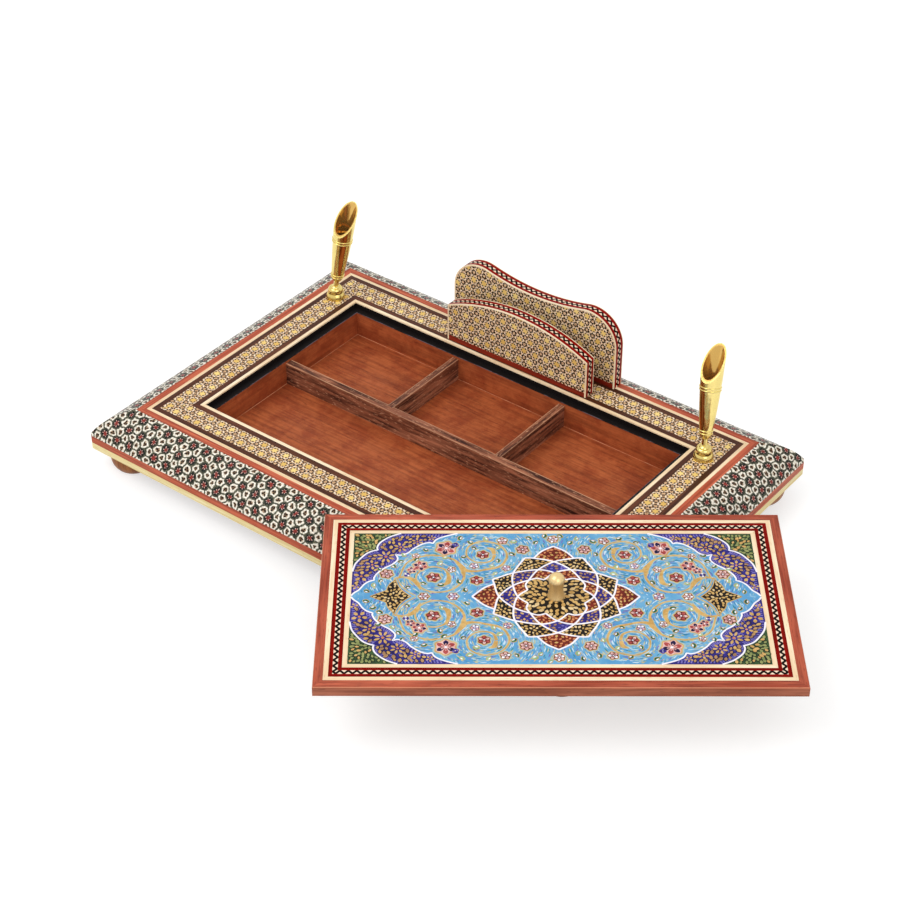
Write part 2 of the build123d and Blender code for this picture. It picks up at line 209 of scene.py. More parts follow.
def new_group(name, inputs, outputs):
    """An empty shader node group, what it is given, and what it puts out. An input without a default number
    is a vector."""
    tree = bpy.data.node_groups.new(name, "ShaderNodeTree")
    for socket, default in inputs.items():
        kind = "Vector" if default is None else "Float"
        made = tree.interface.new_socket(socket, in_out="INPUT", socket_type="NodeSocket" + kind)
        if default is not None:
            made.default_value = default
    for socket in outputs:
        kind = {"Colour": "Color", "Place": "Vector"}.get(socket, "Float")
        tree.interface.new_socket(socket, in_out="OUTPUT", socket_type="NodeSocket" + kind)
    print("group:", name)
    return tree, Node(tree, "NodeGroupInput"), Node(tree, "NodeGroupOutput")


def use(group, **feeds):
    """Places a node group. Spaces in socket names are written as _."""
    return put("Group", {name.replace("_", " "): value for name, value in feeds.items()}, node_tree=group)

# %% [markdown]
# ## Where a point lies on a frame of four strips
# Grain and patterns run along each strip and turn at the mitres. On the bench each strip is cut and laid by
# itself. Here one group finds, for any point, how far along its side of the rectangle it lies, and how far it
# is outside the rectangle's edge.

# %% Group: place on a rectangular frame
frame_place, given, out = new_group(
    "place on a frame", {"Place": None, "Half length": 0.1, "Half width": 0.1}, ("Along", "Outward"))
parts = split(given["Place"])
past_end = abs(parts[0]) - given["Half length"]
past_front = abs(parts[1]) - given["Half width"]
out["Outward"] = calc("MAXIMUM", past_end, past_front)
out["Along"] = choose(calc("GREATER_THAN", past_front, past_end), parts[1], parts[0])


def on_frame(place, half_length, half_width):
    """Along, outward and height for a point on a frame of four strips."""
    laid = use(frame_place, Place=place, Half_length=half_length, Half_width=half_width)
    return laid["Along"], laid["Outward"], split(place)[2]

# %% [markdown]
# ## Wood grain
# Polished wood shows three things at once: a slow drift of tone, fine dark streaks along the grain, and
# short open pores that catch the light. An image texture would repeat, so the grain is three noises, each
# stretched along the first axis of the place it is given.

# %% Group: wood grain
wood_grain, given, out = new_group(
    "wood grain", {"Place": None, "Along": 150.0, "Across": 2400.0}, ("Tone", "Streak", "Pore"))
fine = vector("MULTIPLY", given["Place"], joined(given["Along"], given["Across"], given["Across"]))
broad = vector("MULTIPLY", fine, (0.09, 0.07, 0.07))
middle = vector("MULTIPLY", fine, (0.12, 0.3, 0.3))
out["Tone"] = step_up(noise(broad, 1.0, 3.0, Distortion=0.5), 0.32, 0.68)
out["Streak"] = step_up(noise(middle, 1.0, 4.0, Roughness=0.6), 0.35, 0.7)
out["Pore"] = step_up(noise(fine, 1.0, 1.0), 0.6, 0.75)

# %% [markdown]
# ## Small wear and dust
# A polished surface is never even: fingers leave dull patches, the finish has faint ripples and there are
# specks. One group gives the three masks, and each material decides how much of them it shows.

# %% Group: handling marks
handling, given, out = new_group("handling marks", {"Place": None}, ("Smudge", "Ripple", "Speck"))
out["Smudge"] = step_up(noise(given["Place"], 28.0, 4.0), 0.35, 0.7)
out["Ripple"] = noise(given["Place"], 130.0, 2.0)
out["Speck"] = step_up(noise(given["Place"], 1500.0, 1.0), 0.62, 0.72)

# %% [markdown]
# ## A polished material in one call
# Every finish here ends the same way: a colour, a roughness that varies a little, a shallow bump and a coat
# of polish. The function takes the colour and height that a pattern has worked out.

# %% Helpers: finish a material
def new_material(name):
    """A material, and the place in the box that its patterns start from."""
    material = bpy.data.materials.new(name)
    material.use_nodes = True
    material.node_tree.nodes.clear()
    return material, Node(material.node_tree, "ShaderNodeTexCoord")["Object"]


RIPPLE = 0.25  # height of the fine ripples, as a share of the pattern's relief


def polish(place, colour, height, depth, gloss=0.3, metallic=0.0, spread=0.15, shine=0.14):
    """Ends a material with a Principled shader. gloss is its lowest roughness, spread what smudges add, and
    depth how far height stands out."""
    marks = use(handling, Place=place)
    bump = put("Bump", {"Strength": 1.0, "Distance": depth,
                        "Height": calc("MULTIPLY_ADD", marks["Ripple"], RIPPLE, height)})
    shader = put("BsdfPrincipled", {
        "Base Color": colour, "Roughness": calc("MULTIPLY_ADD", marks["Smudge"], spread, gloss),
        "Metallic": metallic, "Specular IOR Level": shine, "Normal": bump[0]})
    put("OutputMaterial", {0: shader[0]})


def dress(material, *names):
    """Gives CAD nodes a material. A name may be the start of several nodes' names."""
    chosen = [o for n, o in nodes.items() if n.startswith(names)]
    for o in chosen:
        for slot in o.material_slots:
            slot.material = material
        if not o.material_slots:
            o.data.materials.append(material)
    print(material.name, "on", sorted(o.name for o in chosen))

# %% [markdown]
# ## The triangle grid behind both mosaics
# Star mosaic is made from bundles of thin sticks. Six-pointed stars sit on a triangle grid, and the sheet is
# sliced from the glued block. Modelling each stick would take a million faces, so the grid is worked out in
# the shader: the group finds the nearest grid point, how far away it is, and in which direction.

# %% Group: nearest point of a triangle grid
ROW_STEP = math.sqrt(3)
CELL_HIGH, CELL_LOW = (0.5, ROW_STEP / 2, 1.0), (-0.5, -ROW_STEP / 2, -1.0)
triangle_grid, given, out = new_group(
    "nearest grid point", {"Place": None, "Shift": None}, ("Distance", "Turn", "Chance"))
flat = vector("MULTIPLY", vector("SUBTRACT", given["Place"], given["Shift"]), (1, 1, 0))
first = vector("WRAP", flat, CELL_HIGH, CELL_LOW)
second = vector("WRAP", vector("SUBTRACT", flat, (0.5, ROW_STEP / 2, 0)), CELL_HIGH, CELL_LOW)
second_is_nearer = calc("LESS_THAN", length(second), length(first))
offset = put("Mix", {0: second_is_nearer, 4: first, 5: second}, data_type="VECTOR")[1]
parts = split(offset)
centre = vector("MULTIPLY", vector("SUBTRACT", flat, offset), (2, 2 / ROW_STEP, 0))
whole = vector("FLOOR", vector("ADD", centre, (0.5, 0.5, 0)))
out["Distance"] = length(offset)
out["Turn"] = calc("ARCTAN2", parts[1], parts[0])
out["Chance"] = put("TexWhiteNoise", {"Vector": whole})[0]

# %% [markdown]
# ## Yellow star mosaic
# On the top band and the letter rack each star has six yellow points, a brown stick in each notch, a pale
# six-sided line round it, and short black sticks where neighbours meet. The group puts out one mask for each
# kind of stick, and another group colours them. A slow and a quick wobble keep the rows from looking printed.
# All sizes in the masks are shares of the spacing between two stars.

# %% Group: yellow star motif
def edge_of(turn, mean, swing):
    """Outline of a six-pointed star: its distance from the centre in each direction."""
    return calc("MULTIPLY_ADD", calc("COSINE", turn * 6.0), swing, mean)


def inside(distance, limit, soft=0.025):
    """1 where distance is below limit, with a soft edge."""
    return 1.0 - step_up(distance - limit, -soft, soft)


def spot(across, along, at, half_across, half_along):
    """A small oval stick. at is how far out from a star it stands."""
    a, b = (across - at) / half_across, along / half_along
    return 1.0 - step_up(calc("MULTIPLY_ADD", a, a, b * b), 0.6, 1.5)


def sixth_of(grid, turned_by):
    """How far a point is out along the middle of its sixth of a star, and how far beside that line."""
    sector = calc("WRAP", grid["Turn"] - turned_by, math.pi / 6, -math.pi / 6)
    return grid["Distance"] * calc("COSINE", sector), grid["Distance"] * calc("SINE", sector)


def wobbled(place, spacing, slow=0.28, quick=0.12):
    """The place in units of the star spacing, bent as hand-laid rows and uneven sticks are."""
    scaled = laid = vector("DIVIDE", place, joined(spacing, spacing, spacing))
    for scale, reach in ((0.45, slow), (2.4, quick)):
        waves = vector("SUBTRACT", noise(scaled, scale, 1.0, output=1), (0.5, 0.5, 0.5))
        laid = vector("ADD", laid, vector("MULTIPLY", waves, (reach, reach, 0)))
    return laid


YELLOW_SPACING = 9.6 * MM
YELLOW_INPUTS = {"Place": None, "Spacing": YELLOW_SPACING, "Boldness": 1.0}
yellow_motif, given, out = new_group(
    "yellow star motif", YELLOW_INPUTS, ("Star", "Notch stick", "Pale line", "Black stick", "Chance"))
grid = use(triangle_grid, Place=wobbled(given["Place"], given["Spacing"]))
toward_edge, beside_edge = sixth_of(grid, 0.0)
toward_corner, beside_corner = sixth_of(grid, math.pi / 6)
STAR_REACH, STAR_SWING, STICK = 0.2, -0.045, 0.07
NOTCH_AT, CORNER_AT, PAIR_AT, PAIR_APART = 0.24, 0.4, 0.475, 0.115
LINE_START, LINE_END = 0.3, 0.38
stick = given["Boldness"] * STICK
out["Star"] = inside(grid["Distance"], edge_of(grid["Turn"], STAR_REACH, STAR_SWING))
out["Notch stick"] = spot(toward_edge, beside_edge, NOTCH_AT, stick * 0.85, stick * 0.72)
out["Pale line"] = step_up(toward_edge, LINE_START, LINE_START + 0.02) * inside(toward_edge, LINE_END)
pair = spot(toward_edge, abs(beside_edge) - PAIR_APART, PAIR_AT, stick, stick * 0.85)
single = spot(toward_corner, beside_corner, CORNER_AT, stick * 0.9, stick * 0.8)
out["Black stick"] = calc("MAXIMUM", pair, single)
out["Chance"] = grid["Chance"]

# %% [markdown]
# The colouring is shared by the top band and the rack, which only differ in how the sheet is laid, so it is
# a group as well. Where no stick shows, the ground is the tan of the glue lines and thin filler wood.
# Each kind of stick has two tones, and fine noise or the star's own chance picks between them.

# %% Group: yellow mosaic colours
yellow_sheet, given, out = new_group(
    "yellow mosaic sheet", {**YELLOW_INPUTS, "Paleness": 0.0}, ("Colour", "Height"))
motif = use(yellow_motif, Place=given["Place"], Spacing=given["Spacing"], Boldness=given["Boldness"])
grain = step_up(noise(given["Place"], 900.0, 3.0), 0.3, 0.7)
colour = blend(given["Paleness"], blend(grain, (152, 106, 70), (238, 200, 156)),
               blend(grain, (166, 122, 88), (255, 224, 182)))
for mask, picked_by, first, second in (
        ("Pale line", grain, (244, 214, 182), (255, 248, 228)),
        ("Black stick", grain, (10, 3, 1), (48, 26, 14)),
        ("Star", motif["Chance"], (224, 182, 96), (248, 220, 140)),
        ("Notch stick", motif["Chance"], (26, 14, 8), (64, 40, 22))):
    colour = blend(motif[mask], colour, blend(picked_by, first, second))
out["Colour"] = colour
out["Height"] = motif["Star"] + motif["Pale line"]

# %% [markdown]
# ## Green star mosaic
# The sheet bent over the slope has a bolder motif: a red star of small sticks inside a dark green flower,
# and in every triangle between three stars a white ring with three brown sticks in it. Stars and rings come
# from the same grid, the rings from two more copies of it shifted to the triangles' centres.

# %% Group: green star motif
GREEN_SPACING, RING_SHIFT = 11.4 * MM, 1 / ROW_STEP
green_sheet, given, out = new_group(
    "green mosaic sheet", {"Place": None, "Spacing": GREEN_SPACING}, ("Colour", "Height"))
laid = wobbled(given["Place"], given["Spacing"], 0.24, 0.3)
grid = use(triangle_grid, Place=laid)
upper = use(triangle_grid, Place=laid, Shift=(0, RING_SHIFT, 0))
lower = use(triangle_grid, Place=laid, Shift=(0, -RING_SHIFT, 0))
grain = step_up(noise(given["Place"], 900.0, 2.0), 0.3, 0.7)
ring = calc("MINIMUM", upper["Distance"], lower["Distance"])
is_upper = calc("LESS_THAN", upper["Distance"], lower["Distance"])
ring_turn = choose(is_upper, lower["Turn"] * -1.0, upper["Turn"])
third = calc("WRAP", ring_turn - math.pi / 6, math.pi / 3, -math.pi / 3)
white_ring = inside(ring, edge_of(ring_turn, 0.245, 0.02))
colour = blend(grain, (8, 9, 6), (110, 108, 86))
brown_stick = spot(ring * calc("COSINE", third), ring * calc("SINE", third), 0.08, 0.07, 0.062)
rose_stick = spot(*sixth_of(grid, 0.0), 0.135, 0.05, 0.034)
red_star = inside(grid["Distance"], edge_of(grid["Turn"], 0.1, 0.02))
black_stick = spot(*sixth_of(grid, math.pi / 6), 0.17, 0.055, 0.05)
for mask, deep, light in (
        (inside(grid["Distance"], 0.27, 0.04), (6, 8, 8), (44, 54, 46)),  # the dark green flower
        (white_ring, (206, 196, 176), (255, 250, 238)),
        (inside(ring, 0.135), (120, 84, 56), (206, 178, 142)),  # tan wood within the ring
        (brown_stick, (14, 6, 3), (58, 36, 20)), (rose_stick, (186, 128, 116), (230, 196, 182)),
        (red_star, (104, 32, 32), (164, 62, 52)), (black_stick, (3, 2, 2), (24, 14, 12))):
    colour = blend(mask, colour, blend(grain, deep, light))
out["Colour"] = colour
out["Height"] = white_ring

# %% [markdown]
# ## Laying the mosaic sheets
# The top band runs round the opening in four mitred lengths, so it takes its place from the frame group. The
# slopes bend over a shallow arc; measured along the arc, the sheet is flat again, as it was before glueing.

# %% Materials: mosaics
MIDDLE_ROW = MOSAIC_START + MOSAIC_WIDTH / 2 + ROW_STEP / 4 * YELLOW_SPACING
RACK_ROW, RACK_SQUEEZE = TOP + 25.5 * MM, 1.04
slope_middle = Vector((TOP_MARGIN + SLOPE_RUN / 2, -SLOPE_DROP / 2))
slope_normal = Vector((SLOPE_DROP, SLOPE_RUN)).normalized()
slope_radius = math.hypot(SLOPE_RUN, SLOPE_DROP) / 2 / math.sin(SLOPE_HALF_TURN)
slope_centre = slope_middle - slope_normal * slope_radius * math.cos(SLOPE_HALF_TURN)
print("slope radius:", round(slope_radius / MM, 2), "mm")


def on_base(place):
    """Along, outward and height for a point on the base, outward from the edge of its opening."""
    return on_frame(place, OPENING[0] / 2, OPENING[1] / 2)


def on_band(place):
    along, outward, _ = on_base(place)
    return joined(along, outward - MIDDLE_ROW)


def on_slope(place):
    along, outward, height = on_base(place)
    turned = calc("ARCTAN2", height - (TOP + slope_centre.y), outward - slope_centre.x)
    return joined(along, (math.atan2(SLOPE_RUN, SLOPE_DROP) - turned) * slope_radius)


def on_rack(place):
    parts = split(place)
    return joined(parts[0] * RACK_SQUEEZE, parts[2] - RACK_ROW)


def lay_mosaic(name, group, place_on_sheet, on, **feeds):
    material, place = new_material(name)
    sheet = use(group, Place=place_on_sheet(place), **feeds)
    polish(place, sheet["Colour"], sheet["Height"], 0.03 * MM)
    dress(material, *on)


lay_mosaic("yellow star mosaic, top band", yellow_sheet, on_band, ["top_mosaic"], Spacing=YELLOW_SPACING,
           Boldness=1.05)
lay_mosaic("green star mosaic, slope", green_sheet, on_slope, ["slope_mosaic"], Spacing=GREEN_SPACING)
lay_mosaic("yellow star mosaic, letter rack", yellow_sheet, on_rack, ["rack_front_mosaic", "rack_rear_mosaic"],
           Spacing=YELLOW_SPACING, Boldness=1.17, Paleness=1.0)

# %% [markdown]
# ## Strips and bands of wood
# The line inlays are thin sticks of cream bone-like material, dark brown wood and reddish wood. Each is a
# colour with grain along the strip, so one function makes them all from four colours and a gloss.

# %% Materials: line inlays and bands
def grained(grain, colours, streak=0.75, pore=0.5, tone=None):
    """Colour of wood from its grain masks: the main tone, a second tone, the streaks and the pores."""
    colour = blend(tone or grain["Tone"], colours[0], colours[1])
    colour = blend(grain["Streak"] * streak, colour, colours[2])
    return blend(grain["Pore"] * pore, colour, colours[3])


def banded_wood(name, colours, place_of, gloss=0.3, along_scale=150.0, across_scale=2400.0, shine=0.14):
    """Wood whose grain follows place_of."""
    material, place = new_material(name)
    grain = use(wood_grain, Place=place_of(place), Along=along_scale, Across=across_scale)
    polish(place, grained(grain, colours), 1.0 - grain["Pore"], 0.04 * MM, gloss, shine=shine)
    return material


def along_base_side(place):
    return joined(*on_base(place))


IVORY = ((244, 218, 180), (255, 238, 206), (226, 190, 146), (205, 165, 122))
PALE_EDGE = ((242, 222, 160), (252, 238, 190), (224, 196, 130), (200, 168, 108))
BROWN = ((102, 54, 30), (76, 38, 20), (48, 22, 12), (30, 14, 8))
RED_WOOD = ((216, 114, 80), (184, 84, 56), (132, 50, 32), (96, 36, 22))
DARK_RED = ((146, 14, 3), (122, 8, 2), (96, 5, 2), (66, 4, 1))
dress(banded_wood("cream line", IVORY, along_base_side, across_scale=900.0), "ivory_line")
dress(banded_wood("cream lower edging", PALE_EDGE, along_base_side, 0.4), "lower_edging")
dress(banded_wood("dark brown line", BROWN, along_base_side), "brown_strip")
dress(banded_wood("reddish rim", RED_WOOD, along_base_side), "rim_band")
dress(banded_wood("reddish edge band", RED_WOOD, along_base_side, 0.35), "edge_band")

# %% [markdown]
# ## Inside of the box
# The compartments are lined with reddish brown wood, left with a satin finish, with a fine pale glue line
# where the walls meet the floor. The rebate's wall and the ledge that carries the lid are blackened, with a
# painted grey highlight along the ledge's inner arris, and the dividers are dark wood whose upper arrises are
# rubbed pale. Black, worn and highlit places depend only on where a point is, so height and noise make the masks.

# %% Materials: compartments
LINING = ((184, 98, 56), (154, 72, 40), (98, 40, 21), (72, 28, 15))
FLOOR_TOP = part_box("bottom_board")[1][2]
print("floor of the compartments at", round(FLOOR_TOP / MM, 2), "mm")


def lined(name, place_of, black_above):
    """Satin reddish brown wood, blackened above a height, with a painted grey highlight on the ledge's inner arris.
    """
    material, place = new_material(name)
    _, outward, height = on_base(place)
    grain = use(wood_grain, Place=place_of(place), Along=150.0, Across=1300.0)
    mottle = noise(place, 70.0, 6.0, Roughness=0.7)
    patches = step_up(mottle, 0.4, 0.6)
    colour = grained(grain, LINING, 0.5, 0.4, step_up(mottle, 0.35, 0.65))
    foot_of_wall = (step_up(outward, -LEDGE_WIDTH - 0.6 * MM, -LEDGE_WIDTH - 0.3 * MM)
                    * (1.0 - step_up(height, FLOOR_TOP + 0.2 * MM, FLOOR_TOP + 0.4 * MM)))
    colour = blend(foot_of_wall * calc("MULTIPLY_ADD", patches, 0.5, 0.3), colour, (214, 146, 108))
    # painted highlight: a patchy grey line on the black ledge's inner arris, where the ledge catches the light
    arris_highlight = 1.0 - step_up(outward, -LEDGE_WIDTH + 0.1 * MM, -LEDGE_WIDTH + 0.5 * MM)
    black = blend(arris_highlight * patches, (20, 16, 16), (112, 100, 108))
    colour = blend(step_up(height, black_above - HAIR, black_above + HAIR), colour, black)
    polish(place, colour, 1.0 - grain["Pore"], 0.06 * MM, 0.42)
    return material


def as_it_lies(place):
    return place


def along_y(place):
    """Swaps the axes so that the grain runs level along Y."""
    parts = split(place)
    return joined(parts[1], parts[0], parts[2])


def upright(place):
    """Puts the grain upright."""
    parts = split(place)
    return joined(parts[2], parts[0], parts[1])


ledge_height = TOP - LEDGE_DROP - 0.3 * MM
dress(lined("reddish brown floor", as_it_lies, TOP), "bottom_board")
dress(lined("reddish brown long lining", as_it_lies, ledge_height), "lining_front", "lining_back")
dress(lined("reddish brown short lining", along_y, ledge_height), "lining_left", "lining_right")
dress(lined("blackened rebate", along_base_side, 0.0), "moulding_")


def divider_wood(node, place_of, axis):
    """Dark streaky wood, pale along the two arrises of its top edge. axis is the one across the divider."""
    low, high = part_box(node)
    middle, half = (low[axis] + high[axis]) / 2, (high[axis] - low[axis]) / 2
    material, place = new_material(node.replace("_", " ") + " wood")
    parts = split(place)
    grain = use(wood_grain, Place=place_of(place), Along=260.0, Across=1300.0)
    colour = grained(grain, ((180, 116, 86), (132, 77, 54), (58, 28, 20), (206, 152, 118)), 1.0, 0.7)
    rubbed = (step_up(abs(parts[axis] - middle), half - 0.7 * MM, half - 0.3 * MM)
              * step_up(parts[2], high[2] - 0.5 * MM, high[2] - 0.2 * MM))
    patchy = calc("MULTIPLY_ADD", use(handling, Place=place)["Smudge"], 0.6, 0.3)
    colour = blend(rubbed * patchy, colour, (214, 160, 124))
    polish(place, colour, 1.0 - grain["Streak"], 0.08 * MM, 0.45)
    return material


dress(divider_wood("long_divider", as_it_lies, 1), "long_divider")
for node in sorted(n for n in nodes if n.startswith("short_divider")):
    dress(divider_wood(node, along_y, 0), node)

# %% [markdown]
# ## Feet, cores and dowels
# The bun feet are turned from pale orange-brown wood with the grain upright, so streaks run down the belly.
# The rack's cores and dowels hardly show, but get plain wood all the same.

# %% Materials: plain and turned wood
FOOT = ((190, 130, 84), (160, 98, 58), (122, 70, 40), (88, 50, 30))
PLAIN = ((188, 140, 98), (164, 114, 76), (136, 90, 58), (110, 70, 46))
dress(banded_wood("turned foot wood", FOOT, upright, 0.32, 60.0, 700.0), "foot_")
dress(banded_wood("plain core wood", PLAIN, as_it_lies, 0.5, 80.0, 1200.0), "rack_front_core", "rack_rear_core",
      "rack_dowels", "lid_board")

# %% [markdown]
# ## Brass
# The pen holders are polished brass with a thin film of wear, with painted light inside the funnels: a lit
# brown-gold tone and less metal. The knob is satin.
# Metal takes its look from what it mirrors, so the colour stays plain, and a fine ripple breaks up the
# reflections as hand polishing does.

# %% Materials: brass
PEN_BALLS = {"left": (-159.95 * MM, 76.5 * MM, TOP + 6.7 * MM), "right": (156.15 * MM, 76.5 * MM, TOP + 6.7 * MM)}
PEN_LEANS = {"left": (math.radians(8.6), math.radians(35)), "right": (math.radians(17.6), math.radians(115.8))}
NECK_TOP, MOUTH_START, FUNNEL_TOP = 18.0 * MM, 46.0 * MM, 71.4 * MM
WALL_BELOW, WALL_AT_MOUTH, WALL_AT_TOP = 4.7 * MM, 6.4 * MM, 7.6 * MM


def brass_material(name, bright, worn, dark, speck, **finish):
    """Brass of three tones. inner, if given, finds the bore, which gets painted light: a lit brown-gold tone and less
    metal.
    """
    inner = finish.pop("inner", None)
    material, place = new_material(name)
    marks = use(handling, Place=place)
    tint = blend(marks["Speck"] * speck, blend(marks["Smudge"], bright, worn), dark)
    if inner:
        painted_light = inner(place)
        # painted light: the bore gets a lit brown-gold colour and a fifth less metal, so it shows bright where
        # mirrored light alone would leave it dark
        tint = blend(painted_light, tint, (212, 170, 92))
        finish["metallic"] = calc("MULTIPLY_ADD", painted_light, -0.2, 1.0)
    polish(place, tint, marks["Ripple"], **finish)
    return material


def bore_of(side):
    """A function that finds what lies inside a funnel from its distance from the funnel's axis."""
    lean, way = PEN_LEANS[side]
    axis = (math.sin(lean) * math.cos(way), math.sin(lean) * math.sin(way), math.cos(lean))

    def bore(place):
        from_ball = vector("SUBTRACT", place, PEN_BALLS[side])
        up_axis = vector("DOT_PRODUCT", from_ball, axis, output="Value")
        off_axis = length(vector("CROSS_PRODUCT", from_ball, axis))
        in_mouth = put("MapRange", {0: up_axis, 1: MOUTH_START, 2: FUNNEL_TOP, 3: WALL_AT_MOUTH, 4: WALL_AT_TOP})[0]
        wall = choose(calc("GREATER_THAN", up_axis, MOUTH_START - HAIR), WALL_BELOW, in_mouth)
        return inside(off_axis, wall, HAIR) * step_up(up_axis, NECK_TOP, NECK_TOP + 1.0 * MM)

    return bore


POLISHED = ((236, 216, 138), (216, 188, 106), (150, 108, 52), 0.35)
MIRROR = dict(depth=0.12 * MM, gloss=0.12, spread=0.12, shine=0.5)
dress(brass_material("polished brass", *POLISHED, metallic=1.0, **MIRROR), "pen_socket", "pen_ring", "pen_ball")
for side in PEN_LEANS:
    dress(brass_material("brass with a dull bore, " + side, *POLISHED, inner=bore_of(side), **MIRROR),
          "pen_funnel_" + side)
dress(brass_material("satin brass of the knob", (244, 216, 158), (222, 188, 128), (150, 110, 62), 0.3,
                     depth=0.08 * MM, gloss=0.26, metallic=0.7, spread=0.14, shine=0.4), "knob")

# %% [markdown]
# ## Chain inlay
# A black and white chain runs round the lid and over the edges of the rack: white wedges point in from both
# sides in turn, and the black between them winds along the middle. The group draws one link over and over.

# %% Group: chain line
chain_line, given, out = new_group(
    "chain line", {"Along": 0.0, "Across": 0.0, "Period": 4.9 * MM}, ("Black",))
step = calc("FRACT", given["Along"] / given["Period"])
half_link = calc("MULTIPLY_ADD", abs(given["Across"]), 0.58, 0.03)
below = calc("LESS_THAN", given["Across"], 0.0)
from_link = abs(calc("WRAP", calc("MULTIPLY_ADD", below, 0.5, step), 0.5, -0.5))
out["Black"] = step_up(from_link - half_link, -0.05, 0.05)

# %% [markdown]
# The rack's edging shows five lines across its thickness: cream, dark red, chain, dark red, cream. The chain
# has to follow the curved top, so its length is measured round the arcs that the panels were drawn with.

# %% Materials: rack edging
RACK_X = -3.0 * MM
PANEL_THICKNESS = 8.9 * MM
EDGE_CHAIN, EDGE_CHAIN_END, EDGE_RED_END = 3.1 * MM, 1.5 * MM, 3.8 * MM
PLINTH = ((158, 52, 30), (132, 34, 18), (104, 22, 12), (80, 16, 10))


def cross_lines(name, front_y, along_from, on):
    """An edging in five lines. along_from measures the way round the panel from a point's place beside the
    panel's middle line and above the top of the box."""
    material, place = new_material(name)
    parts = split(place)
    along = along_from(abs(parts[0] - RACK_X), parts[2] - TOP)
    across = parts[1] - (front_y + PANEL_THICKNESS / 2)
    from_middle = abs(across)
    grain = use(wood_grain, Place=joined(along, across, 0.0))
    chain = use(chain_line, Along=along, Across=across / EDGE_CHAIN, Period=4.3 * MM)
    colour = blend(chain["Black"], (248, 220, 190), (14, 6, 4))
    colour = blend(step_up(from_middle, EDGE_CHAIN_END, EDGE_CHAIN_END + HAIR), colour,
                   blend(grain["Streak"], DARK_RED[0], DARK_RED[1]))
    colour = blend(step_up(from_middle, EDGE_RED_END, EDGE_RED_END + HAIR), colour,
                   blend(grain["Tone"], IVORY[0], IVORY[1]))
    polish(place, colour, grain["Tone"], 0.03 * MM, shine=0.05)
    dress(material, on)


ARCH_HALF, ARCH_END, ARCH_TOP = 59.4 * MM, 28.5 * MM, 42.5 * MM
arch_radius = (ARCH_HALF ** 2 + (ARCH_TOP - ARCH_END) ** 2) / 2 / (ARCH_TOP - ARCH_END)
ARCH_LENGTH = 60.6 * MM


def round_front(out_x, up):
    """Over the arch from its middle, then down the end."""
    round_arch = arch_radius * calc("ARCTAN2", out_x, up - (ARCH_TOP - arch_radius))
    return choose(calc("GREATER_THAN", out_x, ARCH_HALF - 0.3 * MM), round_arch, ARCH_LENGTH + ARCH_END - up)


SHOULDER_X, SHOULDER_UP, SHOULDER = 46.0 * MM, 31.8 * MM, 23.0 * MM
DIP_UP, DIP_RADIUS = 48.9 * MM, 159.27 * MM
meet_turn = math.atan2(SHOULDER_X, DIP_UP + DIP_RADIUS - SHOULDER_UP)
dip_length = meet_turn * DIP_RADIUS
shoulder_length = (math.pi / 2 + meet_turn) * SHOULDER


def round_rear(out_x, up):
    """Along the dip from its middle, round the shoulder, then down the end."""
    in_dip = DIP_RADIUS * calc("ARCTAN2", out_x, DIP_UP + DIP_RADIUS - up)
    turned = calc("ARCTAN2", out_x - SHOULDER_X, up - SHOULDER_UP)
    on_shoulder = calc("MULTIPLY_ADD", turned + meet_turn, SHOULDER, dip_length)
    meet_x = SHOULDER_X - SHOULDER * math.sin(meet_turn)
    along = choose(calc("GREATER_THAN", out_x, meet_x), in_dip, on_shoulder)
    return choose(calc("LESS_THAN", up, SHOULDER_UP), along, dip_length + shoulder_length + SHOULDER_UP - up)


cross_lines("front rack edging", 83.95 * MM, round_front, "rack_front_edging")
cross_lines("rear rack edging", 104.35 * MM, round_rear, "rack_rear_edging")
dress(banded_wood("dark red plinth", PLINTH, as_it_lies), "rack_front_plinth", "rack_rear_plinth")

# %% [markdown]
# ## Borders of the lid
# The lid lies turned on the box's corner, so its patterns are worked out in the lid's own frame: take away
# its centre, turn back by its angle, and the frame group can be used again.

# %% Materials: lid borders
lid_place, given, out = new_group("place on the lid", {"Place": None}, ("Place",))
moved = vector("SUBTRACT", given["Place"], tuple(LID_CENTRE))
out["Place"] = put("VectorRotate", {"Vector": moved, "Angle": -LID_TURN}, rotation_type="Z_AXIS")[0]


def on_lid(place):
    """Along, outward and height for a point on the lid, outward from the lid's own outer edge."""
    return on_frame(use(lid_place, Place=place)["Place"], *LID_HALF)


def along_lid_side(place):
    return joined(*on_lid(place))


LID_RED = ((204, 104, 76), (168, 74, 50), (110, 40, 26), (86, 30, 20))
LID_EDGE = ((186, 114, 88), (158, 90, 66), (112, 58, 40), (90, 44, 30))
lid_frame, place = new_material("reddish lid frame")
along, outward, height = on_lid(place)
grain = use(wood_grain, Place=joined(along, outward, height), Along=150.0, Across=1500.0)
colour = blend(step_up(height, -0.7 * MM, -1.1 * MM), grained(grain, LID_RED), grained(grain, LID_EDGE))
arris = step_up(outward, -0.5 * MM, -0.25 * MM) * step_up(height, -0.8 * MM, -0.4 * MM)
polish(place, blend(arris * 0.6, colour, (226, 158, 122)), 1.0 - grain["Pore"], 0.04 * MM)
dress(lid_frame, "lid_frame")
dress(banded_wood("cream lid line", IVORY, along_lid_side, across_scale=900.0), "lid_ivory")
dress(banded_wood("dark red lid line", DARK_RED, along_lid_side, shine=0.03), "lid_red")

lid_chain, place = new_material("chain line of the lid")
along, outward, _ = on_lid(place)
across = (outward + LID_CHAIN_IN) / (LID_CHAIN_WIDTH * 0.8)
chain = use(chain_line, Along=along, Across=across)
colour = blend(chain["Black"], (250, 224, 196), (14, 6, 4))
polish(place, blend(step_up(abs(across), 0.48, 0.52), colour, DARK_RED[0]), chain["Black"], 0.02 * MM, shine=0.05)
dress(lid_chain, "lid_chain")

